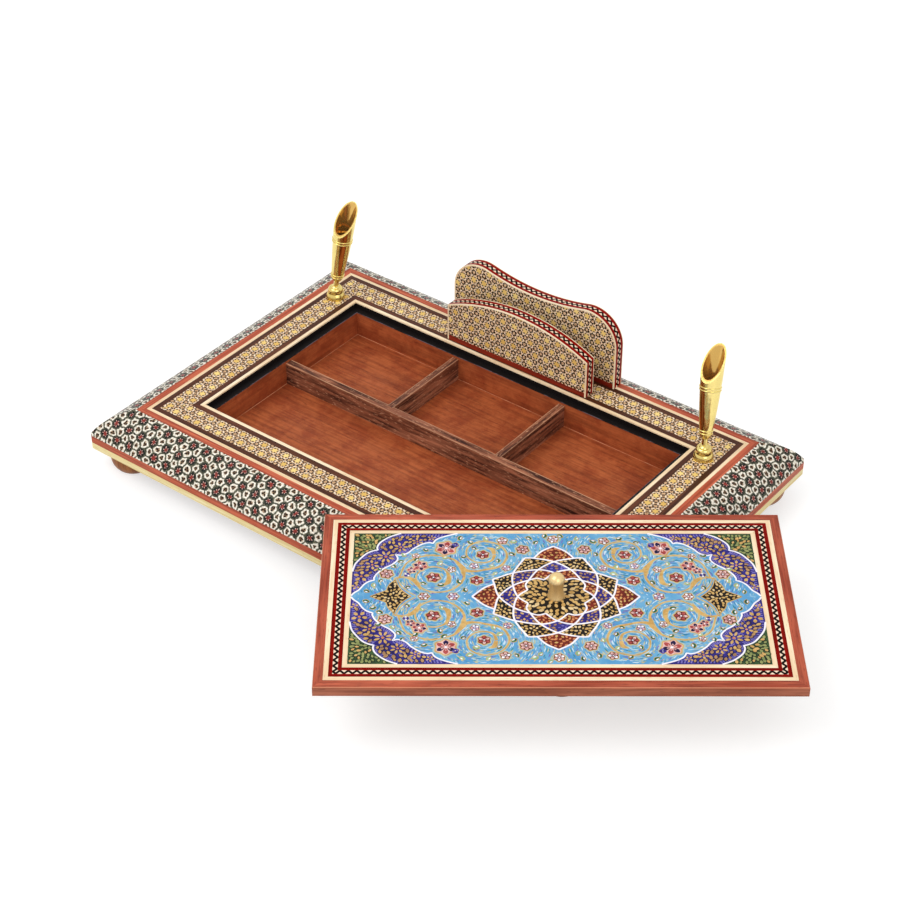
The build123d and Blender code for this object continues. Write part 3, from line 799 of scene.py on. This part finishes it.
# %% [markdown]
# ## Painting the lid: drawing tools
# The panel is painted by hand in thick gouache: a sky blue field, a medallion of overlapping petals, corner
# pieces and gold scrolls with small flowers. Paint that thick stands a little proud, so each colour is a thin
# mesh of its own, a few hundredths of a millimetre high, drawn with three tools: a curve through points, a
# filled patch and a brush stroke. Everything is drawn in one quarter and mirrored.

# %% Helpers: curve, patch, stroke
ART = 0.9535 * MM  # one drawing unit
LAYER = 0.03 * MM
DAB_STEP, DAB_STEPS = 0.02, 37  # dabs differ in height by this share of a layer, in so many steps
paints = collections.defaultdict(bmesh.new)  # one mesh for each colour
brush_count = itertools.count()
lid_matrix = Matrix.Translation(LID_CENTRE) @ Matrix.Rotation(LID_TURN, 4, "Z")


def through(points, first=0, last=None, steps=7):
    """Points on a smooth curve through the given ones, from number first to number last."""
    last = len(points) - 1 if last is None else last
    if first > last:
        return through(points, last, first, steps)[::-1]
    ends = [tuple(2 * a - b for a, b in zip(points[0], points[1]))] + list(points) + [
        tuple(2 * a - b for a, b in zip(points[-1], points[-2]))]
    line = []
    for i in range(first, last):
        p0, p1, p2, p3 = (Vector(ends[i + k]) for k in range(4))
        for s in range(steps):
            t = s / steps
            line.append(0.5 * (2 * p1 + (p2 - p0) * t + (2 * p0 - 5 * p1 + 4 * p2 - p3) * t ** 2
                               + (3 * p1 - p0 - 3 * p2 + p3) * t ** 3))
    return line + [Vector(points[last])]


def lift(point, level):
    """A drawing point on the lid, at a paint layer's height."""
    return lid_matrix @ Vector((point[0] * ART, point[1] * ART, level * LAYER))


def next_level(level):
    """The layer's height plus a little that differs from dab to dab, so dabs that cross don't share a plane."""
    return level + DAB_STEP * (next(brush_count) % DAB_STEPS)


def patch(colour, outline, level):
    """A filled shape: one face on top and a low wall down to the panel."""
    bm, level = paints[colour], next_level(level)
    area = sum(a[0] * b[1] - b[0] * a[1] for a, b in zip(outline, outline[1:] + outline[:1]))
    ring = outline if area > 0 else outline[::-1]
    top = [bm.verts.new(lift(p, level)) for p in ring]
    foot = [bm.verts.new(lift(p, 0)) for p in ring]
    bm.faces.new(top)
    for i in range(len(ring)):
        bm.faces.new((foot[i], foot[(i + 1) % len(ring)], top[(i + 1) % len(ring)], top[i]))


def stroke(colour, line, widths, level):
    """A brush stroke along a line; widths run evenly from its start to its end."""
    left, right = [], []
    level = next_level(level)
    for i, p in enumerate(line):
        ahead = (line[min(i + 1, len(line) - 1)] - line[max(i - 1, 0)]).normalized()
        place = i / (len(line) - 1) * (len(widths) - 1)
        k = min(int(place), len(widths) - 2)
        half = (widths[k] + (widths[k + 1] - widths[k]) * (place - k)) / 2
        side = Vector((-ahead.y, ahead.x)) * half
        left.append(p + side)
        right.append(p - side)
    bm = paints[colour]
    rows = [[bm.verts.new(lift(p, h)) for p in points] for points, h in
            ((right, 0), (right, level), (left, level), (left, 0))]
    for low, high in zip(rows, rows[1:]):
        for i in range(len(line) - 1):
            bm.faces.new((low[i], low[i + 1], high[i + 1], high[i]))


def flip(points, x, y):
    """A drawing mirrored across either middle line by a factor of -1."""
    return [Vector((p[0] * x, p[1] * y)) for p in points]


def quarters(points):
    """The same drawing in all four quarters of the lid."""
    return [flip(points, x, y) for x in (1, -1) for y in (1, -1)]


def patches(colour, outline, level):
    """The same patch in all four quarters."""
    for copy in quarters(outline):
        patch(colour, copy, level)


def strokes(colour, line, widths, level):
    """The same stroke in all four quarters."""
    for copy in quarters(line):
        stroke(colour, copy, widths, level)


def around(at, distance, turn):
    """The place at a distance from another one, in the direction of turn."""
    return at[0] + distance * math.cos(turn), at[1] + distance * math.sin(turn)


def almond(at, length, width, turn):
    """Outline of a leaf or petal, the smallest thing a brush makes."""
    reach = [(-0.5, 0), (-0.25, 0.36), (0.1, 0.5), (0.36, 0.28), (0.5, 0), (0.36, -0.28), (0.1, -0.5), (-0.25, -0.36)]
    c, s = math.cos(turn), math.sin(turn)
    return [Vector((at[0] + x * length * c - y * width * s, at[1] + x * length * s + y * width * c))
            for x, y in reach]


def leaf(colour, at, length, width, turn, level):
    patch(colour, almond(at, length, width, turn), level)


def mirrored(at):
    """The places that mirror one place into the four quarters, without repeats on the middle lines."""
    return sorted({(at[0] * x, at[1] * y) for x in (1, -1) for y in (1, -1)})


def within(point, outline, margin=0.0):
    """True if a point is inside an outline and further than margin from its edge."""
    inside_it = False
    for a, b in zip(outline, outline[1:] + outline[:1]):
        if (a[1] > point[1]) != (b[1] > point[1]):
            if point[0] < (b[0] - a[0]) * (point[1] - a[1]) / (b[1] - a[1]) + a[0]:
                inside_it = not inside_it
        if margin:
            ab, ap = Vector(b) - Vector(a), Vector(point) - Vector(a)
            t = max(0.0, min(1.0, ap.dot(ab) / max(ab.length_squared, 1e-9)))
            if (ap - ab * t).length < margin:
                return False
    return inside_it


def line_of(parts):
    """One line through several curves that meet in corners."""
    return [p for part in parts for p in through(part)[:-1]] + [Vector(parts[-1][-1])]


def run_on(*lines):
    """One line made of several, each of which starts where the one before it ends."""
    return lines[0] + [p for line in lines[1:] for p in line[1:]]

# %% [markdown]
# ## Medallion
# Four long curves, mirrored, make the medallion: each starts at a petal's tip and swings across its
# neighbours to a notch of the rosette in the middle. Two short ones draw the points at its ends and sides.
# The cells between them are painted red-brown, black, violet and blue, then every curve is drawn over in
# white, so small gaps between cells never show.

# %% Paint the medallion
random.seed(7)
NEAR_TIP = [(39.8, 16.5), (38.9, 12.2), (36, 0), (26.9, -10.6), (16.8, -15.8), (11.6, -17.6), (7, -16.2)]
FAR_TIP = [(18.8, 37.8), (13, 37.6), (0, 34.1), (-10.5, 26.1), (-16.8, 15.8), (-18.9, 11), (-17.8, 6.5)]
NEAR_OUTER = [(39.8, 16.5), (26.4, 22.9), (10.5, 26.1), (0, 23), (-7, 16.2)]
FAR_OUTER = [(18.8, 37.8), (26.4, 22.9), (26.9, 10.6), (24.1, 0), (17.8, -6.5)]
END_TIP = [(53, 0), (45.4, 8.2), (38.9, 12.2)]
SIDE_TIP = [(0, 49.6), (7.6, 44.6), (13, 37.6)]

SPANS = ((3, 4), (4, 6), (3, 2))
near_low, near_last, near_back = (flip(through(NEAR_TIP, *span), 1, -1) for span in SPANS)
far_low, far_last, far_back = (flip(through(FAR_TIP, *span), -1, 1) for span in SPANS)
far_hook = flip(through(FAR_OUTER, 4, 3), 1, -1)
near_hook = flip(through(NEAR_OUTER, 4, 3), -1, 1)
cells = [
    ("red_brown", run_on(through(END_TIP), through(NEAR_TIP, 1, 2))),
    ("red_brown", run_on(through(SIDE_TIP), through(FAR_TIP, 1, 2))),
    ("black", run_on(through(NEAR_OUTER, 0, 1), through(FAR_OUTER, 1, 2), near_back, through(NEAR_TIP, 2, 0))[:-1]),
    ("black", run_on(through(FAR_OUTER, 0, 1), through(NEAR_OUTER, 1, 2), far_back, through(FAR_TIP, 2, 0))[:-1]),
    ("violet", run_on(through(FAR_OUTER, 1, 2), near_low, far_low[::-1], through(NEAR_OUTER, 2, 1))[:-1]),
    ("violet", run_on(through(FAR_OUTER, 3, 2), near_back)),
    ("blue", run_on(through(NEAR_OUTER, 3, 2), far_back)),
    ("red_brown", run_on(through(FAR_OUTER, 3, 2), near_low, far_last, far_hook)[:-1]),
    ("red_brown", run_on(through(NEAR_OUTER, 3, 2), far_low, near_last, near_hook)[:-1]),
]
TRIES = 14  # places tried for each square of the leaves' spacing
SHADOW_LONGER, SHADOW_WIDER, SHADOW_BELOW = 1.3, 1.2, 0.9


def scatter(outline, spacing, size, level, colours, margin=1.0, keep_off=(), under=None):
    """Fills a cell with leaves that point away from its middle, evenly but not in rows. Each item of
    keep_off is the place and radius of something already painted, under the colour round each leaf."""
    xs, ys = [p[0] for p in outline], [p[1] for p in outline]
    middle = sum((Vector(p) for p in outline), Vector((0, 0))) / len(outline)
    placed = []
    for _ in range(int((max(xs) - min(xs)) * (max(ys) - min(ys)) / spacing ** 2 * TRIES)):
        at = Vector((random.uniform(min(xs), max(xs)), random.uniform(min(ys), max(ys))))
        if any((at - other).length < spacing for other in placed) or not within(at, outline, margin):
            continue
        if any((at - Vector(other)).length < radius for other, radius in keep_off):
            continue
        placed.append(at)
        away = at - middle
        turn = math.atan2(away.y, away.x) + random.uniform(-0.7, 0.7)
        length = size * random.uniform(0.8, 1.2)
        width = length * random.uniform(0.56, 0.72)
        leaf(random.choice(colours), at, length, width, turn, level)
        if under:
            leaf(under, at, length + SHADOW_LONGER, width + SHADOW_WIDER, turn, level - SHADOW_BELOW)
    return len(placed)


LEAF_COLOURS = {"red_brown": ("amber", "amber", "gold"), "black": ("gold", "gold", "pale_gold"),
                "violet": ("dusk", "dusk", "gold"), "blue": ("lilac", "dusk"), "green": ("gold", "sage", "sage")}
leaves = 0
for colour, outline in cells:
    for copy in quarters(outline):
        patch(colour, copy, 1)
        leaves += scatter(copy, 2.2, 2.5, 2, LEAF_COLOURS[colour])
quarter = run_on(far_hook[::-1], far_last[::-1], near_last, near_hook)
rosette = run_on(quarter, flip(quarter, -1, 1)[::-1], flip(quarter, -1, -1), flip(quarter, 1, -1)[::-1])[:-1]
patch("black", rosette, 1)
leaves += scatter(rosette, 2.75, 3.7, 2, LEAF_COLOURS["black"])
for curve in (NEAR_TIP, FAR_TIP, NEAR_OUTER, FAR_OUTER, END_TIP, SIDE_TIP):
    strokes("white", through(curve), (1.2, 1.2), 3)
print("gold leaves in the medallion:", leaves)

# %% [markdown]
# ## Corners and pendants
# Each corner has a violet piece with a lobed white edge and a green piece behind it. Pale and dark curls on
# the violet lie a layer below the gold leaves. A black pendant with four points stands beyond each end of the
# medallion.

# %% Paint the corners and pendants
PANEL_END, PANEL_SIDE = PAINTED_HALF[0] / ART, PAINTED_HALF[1] / ART
VIOLET_EDGE = [[(PANEL_END, 0.6), (127.6, 3.4), (124.6, 6.4), (121.8, 11.2), (118.8, 14.2), (115.4, 15.8)],
               [(115.4, 15.8), (115.4, 18.2), (113.4, 22.6), (109, 27.6), (104.4, 31), (101.2, 35), (100.9, 38),
                (102.3, 41.4)],
               [(102.3, 41.4), (98.8, 40.6), (94.2, 42.8), (90.6, 47.2), (85.2, 51.6), (81, 53.2), (78, 52.6)],
               [(78, 52.6), (76.2, 56), (72.6, 58.6), (67, 61), (62, PANEL_SIDE)]]
GREEN_EDGE = [[(PANEL_END, 24), (127.9, 31.6), (124.2, 37.9), (120.8, 42.2), (117.2, 44.6), (113.8, 45.8)],
              [(113.8, 45.8), (114.2, 48.6), (112.6, 52.9), (108.2, 57.6), (104, 60.4), (99, PANEL_SIDE)]]
violet_line, green_line = line_of(VIOLET_EDGE), line_of(GREEN_EDGE)
violet_cell = violet_line + green_line[::-1]
green_cell = green_line + [Vector((PANEL_END, PANEL_SIDE))]


def fringe(line, side_sign, spacing=1.35):
    """Short curved strokes laid side by side along a line, all on one side of it."""
    hatches, since = [], spacing
    for a, b in zip(line, line[1:]):
        since += (b - a).length
        if since < spacing:
            continue
        since = 0.0
        ahead = (b - a).normalized()
        side = Vector((-ahead.y, ahead.x)) * side_sign
        hatch = [a + side * 1.0, a + side * 2.5 + ahead * 0.5, a + side * 3.8 + ahead * 1.6]
        if within(hatch[-1], violet_cell, 0.5):
            hatches.append(hatch)
    return hatches


GOLD_FLOWERS = [((123.6, 19.4), 5.8, 5), ((117, 30.8), 5.2, 6), ((108.4, 38.8), 6.6, 8), ((99, 48.6), 5.4, 7),
                ((88.2, 54.2), 4.4, 6), ((79, 58), 3.0, 5), ((127, 9.4), 3.0, 4)]
end_line = [Vector((PANEL_END, 24 - k)) for k in range(23)]
side_line = [Vector((64 + k, PANEL_SIDE)) for k in range(34)]
hatching = fringe(violet_line, -1) + fringe(green_line, 1) + fringe(end_line, -1) + fringe(side_line, -1)
patches("violet", violet_cell, 1)
patches("green", green_cell, 1)
for hatch in hatching:
    strokes("lilac", hatch, (0.95, 0.8, 0.3), 2)
for at, radius, petals in GOLD_FLOWERS:
    for k in range(petals):
        turn = 0.4 + math.tau * k / petals
        patches("gold", almond(around(at, 0.6 * radius, turn), 0.62 * radius, 2.2 * radius / petals, turn), 3)
    patches("amber", almond(at, 0.34 * radius, 0.34 * radius, 0.0), 3)
painted = [(place, radius * 1.05) for at, radius, _ in GOLD_FLOWERS for place in mirrored(at)]
leaves = 0
for copy in quarters(violet_cell):
    leaves += scatter(copy, 2.6, 3.3, 3, LEAF_COLOURS["violet"], 2.8, painted, "night")
for copy in quarters(green_cell):
    leaves += scatter(copy, 2.1, 3.0, 3, LEAF_COLOURS["green"], 1.7, under="dark_green")
CURL_TRIES, CURL_FIELD, curls = 260, 15, 0
for copy in quarters(violet_cell):
    for _ in range(CURL_TRIES):
        near = copy[random.randrange(len(copy))]
        at = near + Vector((random.uniform(-CURL_FIELD, CURL_FIELD), random.uniform(-CURL_FIELD, CURL_FIELD)))
        if not within(at, copy, 3.0):
            continue
        start, reach = random.uniform(0, math.tau), random.uniform(1.0, 2.0)
        curl = [at + Vector((math.cos(start + k * 0.6), math.sin(start + k * 0.6))) * reach * (1 - k * 0.09)
                for k in range(9)]
        if within(curl[0], copy, 0.6) and within(curl[4], copy, 0.6):
            stroke("lilac" if curls % 2 else "night", curl, (0.3, 0.6, 0.4), 2)
            curls += 1
print("hatching strokes:", 4 * len(hatching), "curls:", curls)
for line in (violet_line, green_line):
    strokes("white", line, (1.1, 1.1), 4)

PENDANT = [[(117.5, 0), (111.5, 3.4), (107.2, 5.8)], [(107.2, 5.8), (105.8, 11), (101.8, 16.6)],
           [(101.8, 16.6), (99.6, 9.6), (96.2, 4.4), (91.5, 0)]]
pendant_line = line_of(PENDANT)
pendant = run_on(pendant_line, flip(pendant_line, 1, -1)[::-1])[:-1]
for copy in (pendant, flip(pendant, -1, 1)):
    patch("black", copy, 2)
    leaves += scatter(copy, 2.1, 2.5, 3, LEAF_COLOURS["black"], 0.9)
    stroke("gold", copy + copy[:1], (0.6, 0.6), 4)
print("gold leaves in corners and pendants:", leaves)

# %% [markdown]
# ## Scrolls
# Gold stems wind in spirals, and each ends in a broad leaf beside a flower. A spiral is a list of distances
# from its flower, an eighth of a turn apart, and the brush presses harder where two stems part.

# %% Paint the scrolls
def spiral(at, start, distances, way=-1):
    """A line that winds round a flower, one distance for every eighth of a turn. way 1 is anticlockwise."""
    return through([around(at, r, math.radians(start + 45 * way * i)) for i, r in enumerate(distances)])


big_spiral = spiral((-77.5, 18.4), 180, (22, 22.6, 22, 21.8, 19.5, 16.6, 14.2, 12.4, 11.2, 10.6, 10.6, 10.6, 10.2))
small_spiral = spiral((-45.8, 41), -90, (15.2, 15.8, 15.6, 14.6, 13.6, 12.4, 10.6, 8.8, 8, 8, 7.6), way=1)
scroll_strokes = [
    (big_spiral, (1.2, 1.0, 1.3, 1.6, 1.1, 1.0, 1.0, 1.0, 1.2, 2.6)),
    (small_spiral, (1.8, 1.5, 1.2, 1.1, 1.0, 1.0, 1.2, 2.2)),
    (through([(-102.2, 17.4), (-96, 18.9), (-91.2, 16.6), (-87.6, 12), (-85.6, 6.4)]), (1.0, 2.0, 3.0, 3.2, 0.6)),
    (through([(-65.2, 37.2), (-61.6, 32.2), (-58.6, 26.5), (-58.2, 19.5)]), (0.8, 2.6, 4.0, 1.2)),
    (through([(-59.6, 27.4), (-55.5, 24.9), (-50.5, 24.6), (-45.5, 25.7)]), (3.4, 2.6, 1.6, 1.4)),
    (through([(-67.6, 19.2), (-68.4, 13.5), (-72.4, 10.6)]), (2.8, 3.6, 0.5)),
    (through([(-38.4, 41.6), (-39.6, 46.4), (-43.2, 48.2)]), (2.4, 3.2, 0.5)),
    (through([(-101.4, 19), (-98.2, 11), (-94.6, 5.8), (-88.6, 0.6)]), (0.6, 0.8, 0.6)),
]
for line, widths in scroll_strokes:
    for copy in quarters(line):
        stroke("mist", copy, tuple(w + 0.9 for w in widths), 1)
        stroke("gold", copy, widths, 2)
print("scroll strokes:", 4 * len(scroll_strokes))

# %% [markdown]
# ## Flowers and small leaves
# Flowers are dabs: a gold outline, then petals in two colours by turns, mostly red and pink, with a dab of a
# third colour at the foot of each, and a pale heart. The sky between them is livened with curved strokes,
# most of them pale, that follow the spirals.

# %% Paint the flowers
FLOWERS = [  # place, radius, petals, and the colours of the petals and of their feet
    ((77.5, 18.4), 5.0, 6, ("pink", "red"), "dark_red"), ((45.8, 41), 4.5, 6, ("pink", "red"), "dark_red"),
    ((69.5, 47.5), 7.4, 6, ("red", "night"), "pink"), ((91.5, 25.5), 3.4, 5, ("night", "red"), "pink"),
    ((86, 29.8), 5.2, 6, ("red", "night"), "pink"), ((107.5, 21.8), 4.8, 6, ("pink", "pink"), "dark_red"),
    ((50, 15.5), 4.6, 6, ("pink", "red"), "dark_red"), ((20, 46.2), 4.6, 6, ("pink", "pink"), "dark_red"),
    ((33, 55), 3.8, 5, ("pink", "white"), "dark_red"), ((51.5, 29.8), 3.2, 5, ("white", "pink"), "violet"),
    ((31, 27.6), 3.1, 5, ("pink", "white"), "violet"), ((66, 26.2), 3.0, 5, ("white", "pink"), "dark_red"),
    ((89, 39.6), 2.8, 5, ("pink", "white"), "dark_red"), ((83.5, 0), 3.8, 6, ("pink", "white"), "dark_red"),
    ((65, 0), 3.8, 6, ("pink", "white"), "violet"), ((0, 56.6), 4.0, 6, ("white", "pink"), "dark_red"),
    ((63.6, 50.8), 2.6, 4, ("blue", "lilac"), "violet"), ((94.5, 21), 2.3, 4, ("blue", "white"), "violet"),
]


RIM_POINTS = 30


def flower(at, radius, petals, colours, foot):
    """Pale rim, gold outline, the feet's colour, then petals and a pale heart."""
    turn = random.uniform(0, math.tau)
    rim = [Vector(around(at, radius * (0.98 + 0.09 * math.cos(petals * a)), a + turn))
           for a in (math.tau * k / RIM_POINTS for k in range(RIM_POINTS))]
    patch("mist", [Vector(at) + (p - Vector(at)) * 1.16 for p in rim], 2)
    patch("gold", rim, 3)
    patch(foot, [Vector(at) + (p - Vector(at)) * 0.86 for p in rim], 4)
    for k in range(petals):
        a = turn + math.tau * k / petals
        for colour, away, length, width, level in (
                (colours[k % 2], 0.52, 0.68, 0.46 * 6 / petals, 5), (foot, 0.36, 0.2, 0.14, 6)):
            leaf(colour, around(at, radius * away, a), radius * length, radius * width, a, level)
    leaf("white", at, radius * 0.26, radius * 0.26, turn, 6)


places = []
for at, radius, petals, colours, foot in FLOWERS:
    for place in mirrored(at):
        flower(place, radius, petals, colours, foot)
        places.append((place, radius))
print("flowers:", len(places))

SMALL_LEAVES = [
    (43.5, 57), (25.5, 54.5), (11, 53), (27.5, 41.5), (36, 35.5), (58.5, 38.5), (54.5, 54), (73.5, 32), (73, 11),
    (99, 34.5), (102.8, 29.5), (82.5, 45.5), (115.5, 11.2), (119.8, 4.5), (94, 8.4), (56.8, 6.5), (61.5, 14),
    (37.5, 22), (36.5, 47.5), (51, 48), (84.3, 12.5), (15, 57.5), (60, 57.8), (97, 40.5), (112, 26.5),
    (40, 29.5), (70.5, 37.5), (88.5, 36), (110.8, 15.2), (5.5, 60)]
for at in SMALL_LEAVES:
    for place in mirrored(at):
        place = (place[0] + random.uniform(-0.6, 0.6), place[1] + random.uniform(-0.6, 0.6))
        turn, size = random.uniform(0, math.tau), random.uniform(4.0, 5.4)
        leaf("gold", place, size, size * 0.76, turn, 3)
        leaf(random.choice(("leaf_green", "leaf_green", "pale_green")), place, size * 0.86, size * 0.56, turn, 4)
        side = (place[0] - 0.12 * size * math.sin(turn), place[1] + 0.12 * size * math.cos(turn))
        leaf("white", side, size * 0.46, size * 0.22, turn, 5)

SPIRAL_MIDDLES = [(77.5, 18.4), (45.8, 41)]
medallion_edge = through([(53, 0), (38.9, 12.2), (39.8, 16.5), (26.4, 22.9), (18.8, 37.8), (13, 37.6), (0, 49.6)])
medallion = medallion_edge + [Vector((0, 0))]
sky_field = [*violet_line, Vector((0, PANEL_SIDE)), Vector((0, 0))]
DAB_COLOURS = ("pale_sky", "grey_sky", "straw", "deep_sky", "mist", "lilac", "pale_sky", "teal", "straw")
SKY_TRIES, SKY_LENGTH, SKY_WIDTH, made = 2100, 128, 61, 0
for _ in range(SKY_TRIES):
    at = Vector((random.uniform(0, SKY_LENGTH), random.uniform(0, SKY_WIDTH)))
    middle = Vector(min(SPIRAL_MIDDLES, key=lambda m: (Vector(m) - at).length))
    away = at - middle
    bend, span = math.atan2(away.y, away.x), random.uniform(1.6, 4.6) / max(away.length, 6)
    turns = [bend + span * k / 4 for k in range(5)]
    dab = [middle + Vector((math.cos(turn), math.sin(turn))) * away.length for turn in turns]
    if all(not within(p, medallion) and within(p, sky_field, 0.8) for p in dab):
        strokes(DAB_COLOURS[made % len(DAB_COLOURS)], dab, (0.25, 0.8, 0.25), 1)
        made += 1
print("pale strokes in a quarter:", made)

# %% [markdown]
# ## Paint as a material
# Gouache under varnish is opaque, a little streaky and slightly glossy. Every colour is one piece that rides
# on the lid, and gets the panel's own finish with its own two tones.

# %% Make the painted pieces
PAINT = {
    "gold": ((216, 178, 112), (192, 150, 84)), "pale_gold": ((232, 204, 152), (206, 174, 120)),
    "amber": ((218, 146, 96), (190, 114, 68)), "straw": ((204, 196, 150), (184, 176, 132)),
    "dusk": ((188, 146, 100), (152, 114, 80)), "sage": ((156, 160, 100), (120, 132, 78)),
    "mist": ((166, 196, 196), (146, 182, 190)), "white": ((255, 250, 252), (236, 232, 244)),
    "violet": ((52, 42, 136), (34, 24, 98)), "lilac": ((128, 120, 190), (104, 96, 172)),
    "night": ((30, 20, 72), (20, 12, 50)), "green": ((62, 92, 50), (38, 62, 36)),
    "dark_green": ((24, 40, 20), (14, 26, 14)), "teal": ((70, 150, 160), (52, 124, 140)),
    "red_brown": ((124, 38, 22), (92, 26, 14)), "black": ((30, 18, 10), (16, 10, 6)),
    "blue": ((64, 58, 150), (44, 42, 114)), "pink": ((236, 194, 186), (208, 150, 146)),
    "red": ((182, 82, 78), (150, 54, 54)), "dark_red": ((96, 28, 30), (66, 20, 24)),
    "leaf_green": ((44, 112, 76), (24, 80, 56)), "pale_green": ((168, 196, 150), (128, 172, 126)),
    "pale_sky": ((206, 226, 236), (182, 212, 232)), "grey_sky": ((158, 182, 200), (138, 168, 196)),
    "deep_sky": ((76, 140, 184), (60, 122, 170)),
}


def gouache(name, light, deep):
    """Brushed paint under thin varnish."""
    material, place = new_material(name)
    brush = noise(place, 260.0, 4.0, Roughness=0.65)
    polish(place, blend(step_up(brush, 0.35, 0.65), light, deep), brush, 0.03 * MM, 0.34)
    return material


def piece_of(bm, name, material):
    """An object from a finished mesh."""
    mesh = bpy.data.meshes.new(name)
    bm.to_mesh(mesh)
    bm.free()
    mesh.materials.append(material)
    piece = bpy.data.objects.new(name, mesh)
    bpy.context.scene.collection.objects.link(piece)
    print(name, "faces:", len(mesh.polygons))
    return piece


for colour, bm in paints.items():
    piece = piece_of(bm, "lid_paint_" + colour, gouache("gouache " + colour.replace("_", " "), *PAINT[colour]))
    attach(piece, "lid")

sky, place = new_material("sky blue painted field")
brush = noise(place, 240.0, 5.0, Roughness=0.7, Distortion=0.8)
colour = blend(step_up(noise(place, 60.0, 2.0), 0.35, 0.65), (86, 152, 200), (108, 170, 208))
colour = blend(step_up(brush, 0.55, 0.75), colour, (168, 206, 226))
colour = blend(1.0 - step_up(brush, 0.25, 0.42), colour, (80, 144, 194))
polish(place, colour, brush, 0.03 * MM, 0.32)
dress(sky, "lid_painted_panel")

# %% [markdown]
# ## Floor, light and background
# The photograph has a white background and soft light from all round. The floor is a plain pale sheet, lit by
# a white world and two large soft lamps kept at a plain level. Where the camera looks at the floor, a little
# of its own light lifts it to white, and the shadow under the feet stays.

# %% Set the stage
WHITE = (1, 1, 1, 1)
FLOOR_REACH, FLOOR_GLOW = 3.0, 0.56
WORLD_LIGHT, WORLD_SEEN = 0.8, 1.0


def seen_in(tree):
    """1 where the camera looks at a thing, straight or by a reflection, and 0 where the thing only gives light."""
    paths = Node(tree, "ShaderNodeLightPath")
    return calc("MAXIMUM", paths["Is Camera Ray"],
                calc("MAXIMUM", paths["Is Glossy Ray"], paths["Is Transmission Ray"]))


def pale_floor():
    material, place = new_material("pale floor")
    sheet = put("BsdfPrincipled", {
        "Base Color": blend(noise(place, 90.0, 2.0), (193, 193, 192), (197, 197, 196)), "Roughness": 0.8})
    glow = put("Emission", {"Color": WHITE, "Strength": seen_in(place.tree) * FLOOR_GLOW})
    both = put("AddShader", {0: sheet[0], 1: glow[0]})
    put("OutputMaterial", {0: both[0]})
    return material


def soft_lamp(name, place, aim, size, power):
    lamp = bpy.data.objects.new(name, bpy.data.lights.new(name, "AREA"))
    lamp.data.shape, lamp.data.size, lamp.data.energy = "SQUARE", size, power
    lamp.location = place
    lamp.rotation_euler = (Vector(aim) - Vector(place)).to_track_quat("-Z", "Y").to_euler()
    bpy.context.scene.collection.objects.link(lamp)


bm = bmesh.new()
corners = [(x * FLOOR_REACH, y * FLOOR_REACH, FLOOR) for x, y in ((-1, -1), (1, -1), (1, 1), (-1, 1))]
bm.faces.new([bm.verts.new(corner) for corner in corners])
floor = piece_of(bm, "floor", pale_floor())
soft_lamp("window lamp", (-0.6, -1.3, 1.9), (0, 0, 0), 1.4, 18.0)
soft_lamp("fill lamp", (1.6, -0.9, 1.1), (0, 0, 0), 1.1, 7.0)

world = bpy.data.worlds.new("studio")
bpy.context.scene.world = world
world.use_nodes = True
world.node_tree.nodes.clear()
level = choose(seen_in(world.node_tree), WORLD_LIGHT, WORLD_SEEN)
background = put("Background", {"Color": WHITE, "Strength": level})
put("OutputWorld", {0: background[0]})
